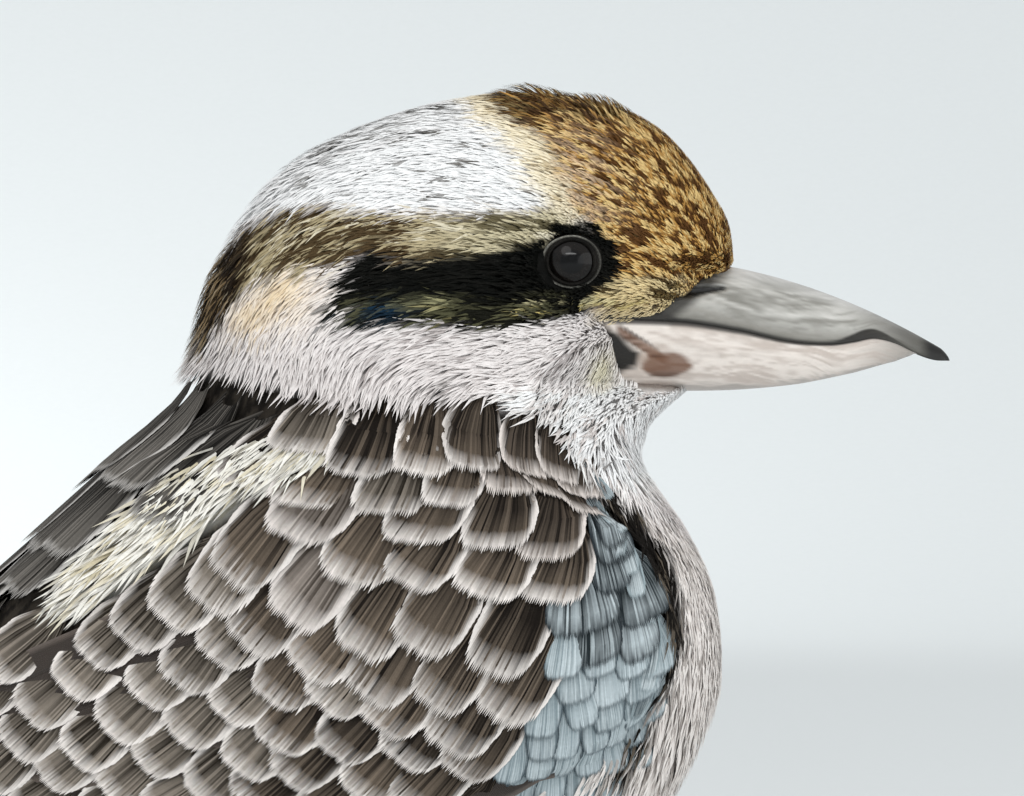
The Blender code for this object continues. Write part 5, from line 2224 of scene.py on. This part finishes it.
@dataclass(frozen=True)
class Feet:
    """Short scaly shanks, three toes forward and one back, and curved claws."""

    ankle: tuple = (-6.0, 26.0, 36.5)
    foot: tuple = (9.0, 26.5, GROUND + 3.9)
    claw_length: float = 8.5
    claw_bend: float = math.radians(72)
    claw_steps: int = 26
    shank_sides: int = 28
    toe_sides: int = 24
    claw_sides: int = 16
    toes: tuple = (
        Toe("inner", 18.0, -24.0, 2.9, 2),
        Toe("middle", 27.0, -1.0, 3.1, 3),
        Toe("outer", 23.0, 17.0, 2.8, 3),
        Toe("hind", 14.0, 172.0, 3.0, 1),
    )

    def root(self, side: Side) -> Array:
        """The ground under the ball of the foot."""
        return np.array([self.foot[0], side.value * self.foot[1], GROUND])

    def shank(self, side: Side) -> Pair:
        """The shank and the ball of the foot in one loft, ringed in front by broad scales.

        Args:
            side: which leg.

        Returns:
            Vertices and faces.
        """
        s = np.linspace(0, 1, 90)
        ankle, foot = np.array(self.ankle), np.array(self.foot)
        end = foot + (0.4, 0.0, -3.9)
        path = ankle + (foot - ankle) * s[:, None] * 0.98
        path = path + (end - foot) * smooth(s, 0.86, 1.0)[:, None]
        path = path * (1, side.value, 1)
        swell = 3.0 + 1.2 * (1 - s) ** 3 + 2.1 * smooth(s, 0.80, 0.94) - 1.4 * smooth(s, 0.95, 1.0)
        scute = (s * 13) % 1
        ridge = 0.22 * (scute - 0.5) * np.clip(np.sin(math.pi * np.clip(s, 0, 0.95)), 0, 1)
        front = np.clip(np.cos(circle(self.shank_sides) - math.pi), 0, 1)
        return tube(path, swell[:, None] + ridge[:, None] * front, self.shank_sides, GROUND)

    def toe(self, toe: Toe, side: Side) -> Pair:
        """A padded toe with scales across its top, flat where it rests on the ground.

        Args:
            toe: its sizes.
            side: which foot.

        Returns:
            Vertices and faces.
        """
        way = self.way(toe, side)
        s = np.linspace(0, 1, 28 * toe.pads + 24)
        reach = toe.radius * (1 - 0.26 * s)
        bulge = 1 + 0.09 * np.cos(2 * math.pi * (toe.pads + 0.5) * s)
        end = np.sqrt(np.clip(1.02 - np.clip((s - 0.86) / 0.2, 0, 1) ** 2, 0, 1))
        root = self.root(side)
        path = root + way * (1.5 + (toe.length - 1.5) * s)[:, None]
        path[:, 2] += reach * 0.95
        scute = (s * toe.length / 1.7) % 1
        top = np.clip(np.sin(circle(self.toe_sides)), 0, 1) ** 0.5
        radius = (reach * bulge * end)[:, None] + 0.20 * (scute[:, None] - 0.5) * top * end[:, None]
        points, faces = tube(path, radius, self.toe_sides, GROUND)
        for other in self.toes:
            apart = way - self.way(other, side)
            if 0 < np.linalg.norm(apart) < 1:
                apart = unit(apart)
                points = points + apart * np.maximum(0.06 - (points - root) @ apart, 0)[:, None]
        return points, faces

    def way(self, toe: Toe, side: Side) -> Array:
        """The level direction in which a toe points."""
        turn = math.radians(toe.heading)
        return np.array([math.cos(turn), side.value * math.sin(turn), 0.0])

    def claw(self, toe: Toe, side: Side) -> Pair:
        """A claw: a cone bent down along an arc.

        Args:
            toe: its sizes.
            side: which foot.

        Returns:
            Vertices and faces.
        """
        way = self.way(toe, side)
        bend = np.linspace(0, self.claw_bend, self.claw_steps)
        curve = self.claw_length / self.claw_bend
        path = self.root(side) + way * toe.length + way * (curve * np.sin(bend) - 0.9)[:, None]
        tip_height = toe.radius * 0.74 * 0.95
        fall = (tip_height + 0.75) * (1 - np.cos(bend)) / (1 - math.cos(bend[-1]))
        path[:, 2] = GROUND + tip_height + 1.4 - fall
        radius = 0.22 + 1.62 * (1 - np.linspace(0, 1, self.claw_steps)) ** 0.8
        keel = 1 - 0.22 * np.abs(np.cos(circle(self.claw_sides)))
        return tube(path, radius[:, None] * keel, self.claw_sides, GROUND + 0.05)

    def make(self, pieces: Pieces) -> None:
        """Builds both feet.

        Args:
            pieces: makes them.
        """
        scaly = HideFinish("scaly skin", "4f4d45", "77736a", 700.0).material()
        horn = ClawFinish().material()
        for side in Side:
            points, faces = self.shank(side)
            pieces.make("shank_" + side.word, points, faces, scaly, Slot.SCALY, ("tarsus_" + side.word,))
            for toe in self.toes:
                end = f"{toe.name}_{side.word}"
                points, faces = self.toe(toe, side)
                pieces.make("scaly_toe_" + end, points, faces, scaly, Slot.SCALY, ("toe_" + end,))
                points, faces = self.claw(toe, side)
                pieces.make("curved_claw_" + end, points, faces, horn, Slot.CLAW, ("claw_" + end,))


# ---- Flight feathers and tail ----


@dataclass(frozen=True)
class Quill:
    """A long feather: a closed thin vane on a raised shaft, as rows of points across its path."""

    path: Array
    up: Array
    left: Array  # vane widths at each row
    right: Array
    camber: float = 0.06
    thickness: float = 0.42
    columns: int = 9

    def build(self) -> Triple:
        """Top points run across the vane, and the underside's points run back.

        Returns:
            Vertices, faces, and for each vertex the millimetres along, the share across and 0.
        """
        ahead = unit(np.gradient(self.path, axis=0))
        side = unit(np.cross(ahead, self.up))
        share = np.linspace(-1, 1, self.columns)
        reach = np.where(share < 0, self.left[:, None], self.right[:, None]) * share
        crown = -self.camber * np.abs(reach) * np.abs(share)
        shaft = 0.32 * np.exp(-((share / 0.10) ** 2))
        thick = self.thickness * (1 - 0.7 * share**2)
        rings = []
        for top in (True, False):
            height = crown + (shaft + thick / 2 if top else -thick / 2)
            flat = self.path[:, None] + side[:, None] * reach[..., None]
            flat = flat + self.up[:, None] * height[..., None]
            rings.append(flat if top else flat[:, ::-1])
        points = np.concatenate(rings, axis=1)
        run = np.concatenate([[0], np.cumsum(np.linalg.norm(np.diff(self.path, axis=0), axis=1))])
        facts = np.zeros(points.shape)
        facts[..., 0] = run[:, None]
        facts[..., 1] = np.concatenate([share, share[::-1]])
        points = points.reshape(-1, 3)
        return points, outward(points, loft_faces(len(self.path), 2 * self.columns)), facts.reshape(-1, 3)


@dataclass
class QuillSet:
    """Quills joined into one piece: for each its points, faces, facts, tint, bars and places on the map."""

    parts: list
    count: int = 0

    def add(self, quill: Quill, tint: Callable, barred: Callable, luck: float) -> None:
        """Adds a quill.

        Args:
            quill: the feather.
            tint, barred: give colours and bars from its facts.
            luck: the feather's own random value.
        """
        points, faces, facts = quill.build()
        patch = facts[:, :2] / (facts[:, 0].max(), 1)
        shown = tint(facts), barred(facts)
        facts[:, 2] = luck
        self.parts.append((points, faces + self.count, facts, *shown, patch))
        self.count += len(points)

    def make(
        self, name: str, pieces: Pieces, material: Any, slot: Slot, replaces: tuple[str, ...] = ()
    ) -> None:
        """Makes the piece. Each quill is a strip of its own across the OFBake map.

        Args:
            name: the piece's name.
            pieces, material: what it is made with.
            slot: its material slot.
            replaces: the part's nodes it stands in for.
        """
        *joined, _ = (np.concatenate(some) for some in zip(*self.parts))
        points, faces, *facts = joined
        strips = [
            join(patch[:, 0] * 0.96 + 0.02, (k + 0.5 + 0.42 * patch[:, 1]) / len(self.parts))
            for k, (*_, patch) in enumerate(self.parts)
        ]
        shown = dict(zip(("vane", "tint", "barred"), facts))
        pieces.make(name, points, faces, material, slot, replaces, shown, np.concatenate(strips))


@dataclass(frozen=True)
class Tail:
    """Twelve feathers, the middle pair on top, a little arched across."""

    root: tuple = (-88.0, 71.5)
    tip_x: float = -229.0
    droop: float = 15.5
    pairs: int = 6
    fan: float = 0.9  # degrees from feather to feather
    gap: float = 0.95
    width: float = 10.2  # of half a vane
    shorter: float = 0.085  # share that the outermost pair is shorter
    steps: int = 44  # along each feather

    def make(self, pieces: Pieces) -> None:
        """Builds the tail.

        Args:
            pieces: makes it.
        """
        quills = QuillSet([])
        slope = math.radians(self.droop)
        full = (self.root[0] - self.tip_x) / math.cos(slope)
        way = np.array([-math.cos(slope), 0.0, -math.sin(slope)])
        up = np.array([-math.sin(slope), 0.0, math.cos(slope)])
        rng = np.random.default_rng(8)
        for pair in reversed(range(self.pairs)):
            for sign in (1, -1):
                place = (pair + 0.5) * sign
                fan = math.radians(self.fan * place)
                length = full * (1 - self.shorter * (pair / (self.pairs - 1)) ** 2) - 0.4
                s = np.linspace(0, 1, self.steps)
                heading = way * math.cos(fan) + (0, math.sin(fan), 0)
                path = (self.root[0], self.gap * place, self.root[1]) + heading * (length * s)[:, None]
                sink = 0.012 * (path[:, 1] ** 2) / 2.4 + 0.34 * pair + (0.1 if sign > 0 else 0.0)
                path = path + up * (1.2 - 0.6 * s - sink * (0.35 + 0.65 * s))[:, None]
                roll = -0.03 * place
                raised = np.tile(up * math.cos(roll) + (0, math.sin(roll), 0), (self.steps, 1))
                width = self.width * np.sin(np.clip(0.30 + s * 1.9, 0, math.pi / 2))
                tip = np.sqrt(np.clip(1 - np.clip((s - 0.93) / 0.072, 0, 1) ** 2.2, 0.0015, 1))
                narrow = 0.62 if pair else 0.92
                outer, inner = width * tip * narrow, width * tip
                left, right = (outer, inner) if sign < 0 else (inner, outer)
                quills.add(Quill(path, raised, left, right), self.tint, self.bars, rng.random())
        finish = QuillFinish("tail feathers", 13.5, 0.5)
        quills.make("tail_feathers", pieces, finish.material(), Slot.RUFOUS, ("tail",))

    def tint(self, facts: Array) -> Array:
        """Rufous, with a white end."""
        white = smooth(facts[:, 0] / facts[:, 0].max(), 0.925, 0.95)
        return blend(ink("9a6138")[None], ink("e9e3d8")[None], white)

    def bars(self, facts: Array) -> Array:
        """1 where black bars cross the feather, 0 on its white end."""
        return 1 - smooth(facts[:, 0] / facts[:, 0].max(), 0.915, 0.93)


@dataclass(frozen=True)
class QuillRun:
    """Neighbouring flight feathers, whose numbers change evenly from the lowest to the highest.

    Attributes:
        count, width: how many, and how wide their vanes are.
        lowest: root x and z, tip x and z, share of the wing's height, and sag of the lowest.
        change: what is added to each of them up to the highest.
    """

    count: int
    width: float
    lowest: tuple
    change: tuple


@dataclass(frozen=True)
class FlightFeathers:
    """The folded wing's long feathers, laid out in side view and pressed to the flank."""

    steps: int = 40  # along each feather
    primaries: QuillRun = QuillRun(
        6, 11.0, (10.0, 86.5, -123.0, 69.5, 0.30, 1.0), (-12.0, 2.0, 17.0, 3.6, 0.06, 0.0)
    )
    secondaries: QuillRun = QuillRun(
        11, 14.0, (66.0, 100.0, -60.0, 79.5, 0.42, 2.0), (-74.0, 31.0, -31.0, 13.0, 0.42, -3.0)
    )

    def quill(self, side: Side, run: QuillRun, share: float) -> Quill:
        """A feather between two points in side view, bowed down a little by half a sine.

        Args:
            side: which wing.
            run, share: its run, and its share of the way up it.

        Returns:
            The feather.
        """
        start_x, start_z, end_x, end_z, height, sag = np.array(run.lowest) + np.array(run.change) * share
        s = np.linspace(0, 1, self.steps)
        x = start_x + (end_x - start_x) * s
        z = start_z + (end_z - start_z) * s - sag * np.sin(math.pi * s)
        t, angle = BODY.locate(x, z)
        chart = BODY.chart(t, angle * side.value)
        skin, top = WING.skin(t, angle), WING.top(t, angle)
        height = skin + (top - skin) * height + smooth(t, 12.6, 13.4)  # clear of the tail's root
        path = chart.point + chart.normal * height[:, None]
        tip = np.sqrt(np.clip(1 - np.clip((s - 0.90) / 0.102, 0, 1) ** 2.2, 0.002, 1))
        body = run.width * np.clip(s / 0.12, 0.25, 1) ** 0.5 * tip
        lower, upper = body * 0.45, body * 0.55
        left, right = (upper, lower) if side is Side.RIGHT else (lower, upper)
        return Quill(path, chart.normal, left, right, 0.05, 0.36)

    def make(self, side: Side, pieces: Pieces, material: Any) -> None:
        """Builds one wing's flight feathers, from the lowest up.

        Args:
            side: which wing.
            pieces, material: what they are made with.
        """
        quills = QuillSet([])
        rng = np.random.default_rng(70 + side.value)
        for run in (self.primaries, self.secondaries):
            for k in range(run.count):
                quill = self.quill(side, run, k / (run.count - 1))
                quills.add(quill, self.dark, self.plain, rng.random())
        quills.make("flight_feathers_" + side.word, pieces, material, Slot.DARK)

    def dark(self, facts: Array) -> Array:
        """Dark brown, paler along the outer edge."""
        edge = smooth(np.abs(facts[:, 1]), 0.78, 0.98)
        return blend(ink("342b25")[None], ink("7d7067")[None], edge * 0.7)

    def plain(self, facts: Array) -> Array:
        """No bars."""
        return np.zeros(len(facts))


# ---- Studio ----


@dataclass(frozen=True)
class Studio:
    """A pale bowl of a floor, soft lights, and a long lens level with the bird's neck."""

    frame_width: float = 222.6  # millimetres across the picture at the bird
    middle: tuple = (58.0, 177.4)  # x and z at the picture's middle
    distance: float = 1.6
    sensor: float = 36.0

    def floor(self) -> None:
        """A disc whose height grows with the square of the distance past its flat part."""
        reach = np.concatenate([[0.001], np.linspace(0.4, 3.6, 9), np.linspace(3.9, 9.0, 24)])[:, None]
        turn, height = circle(96), np.clip(reach - 3.6, 0, None) ** 2 * 0.16
        points = join(reach * np.cos(turn), reach * np.sin(turn), height).reshape(-1, 3)
        faces = ring_faces(len(reach), 96)[:, (0, 3, 2, 1)]
        mesh = bpy.data.meshes.new("floor")
        mesh.from_pydata(points.tolist(), [], faces.tolist())
        mesh.shade_smooth()
        mesh.materials.append(PaperFinish().material())
        put("floor", mesh)

    def light(
        self, name: str, place: tuple, watts: float, size: tuple, tone: tuple, aim: tuple = (0.05, 0, 0.16)
    ) -> None:
        """A round or long softbox.

        Args:
            name, place: the lamp's name and place in metres.
            watts, size, tone: its strength, width and height, and colour.
            aim: the point that it faces.
        """
        lamp = bpy.data.lights.new(name, "AREA")
        lamp.shape = "ELLIPSE"
        lamp.energy, lamp.color = watts, tone
        lamp.size, lamp.size_y = size
        stand = put(name, lamp)
        stand.location = place
        stand.rotation_euler = (Vector(aim) - Vector(place)).to_track_quat("-Z", "Y").to_euler()

    def camera(self) -> None:
        """A level camera on the bird's right."""
        lens = bpy.data.cameras.new("camera")
        lens.sensor_width = self.sensor
        lens.lens = self.sensor * self.distance / (self.frame_width * MM)
        lens.clip_start, lens.clip_end = 0.01, 100
        stand = put("camera", lens)
        x, z = self.middle
        stand.location = ((x - MIDDLE_X) * MM, -self.distance - 0.022, (z - GROUND) * MM)
        stand.rotation_euler = (math.pi / 2, 0, 0)
        bpy.context.scene.camera = stand

    def make(self) -> None:
        """Sets the stage."""
        self.floor()
        self.light("key", (-0.6, -1.5, 1.6), 8.0, (1.3, 1.3), (1.0, 0.99, 0.97))
        self.light("fill", (1.6, -1.1, 0.15), 14.0, (2.2, 2.2), (1.0, 1.0, 1.0))
        self.light("eye strip", (0.02, -1.30, 1.00), 3.9, (1.1, 0.15), (1.0, 1.0, 1.0), (0.10, 0, 0.2))
        self.light("backdrop", (-0.9, 3.6, 1.0), 10.0, (0.6, 0.6), (0.97, 1.0, 1.0), (-0.6, 4.7, 0.5))
        world = bpy.data.worlds.new("soft room")
        world.use_nodes = True
        world.node_tree.nodes["Background"].inputs[0].default_value = (0.985, 0.995, 1.0, 1)
        world.node_tree.nodes["Background"].inputs[1].default_value = 0.78
        bpy.context.scene.world = world
        bpy.context.scene.view_settings.view_transform = "Standard"
        self.camera()


def main() -> None:
    """Builds the bird and its stage, and reports each piece."""
    logging.basicConfig(level=logging.INFO, format="%(name)s %(message)s")
    pieces = Pieces()
    plume = PlumeFinish().material()
    skin = Skin()
    skin.make(pieces, SkinFinish().material())
    SoftCoat().make(pieces, plume)
    grower, wing = ContourFeathers(pieces, plume), WingPlumage()
    flight = QuillFinish("flight feathers").material()
    for side in Side:
        Trousers().grow(side, skin, pieces, plume)
        FlightFeathers().make(side, pieces, flight)
        wing.make_brown(side, grower)
        wing.make_blue(side, grower)
    wing.make_mantle(grower)
    Tail().make(pieces)
    Bill().make(pieces)
    Eyes().make(pieces)
    Feet().make(pieces)
    Studio().make()
    LOG.info("all pieces: %d triangles", pieces.triangles)


if __name__ == "__main__":
    main()
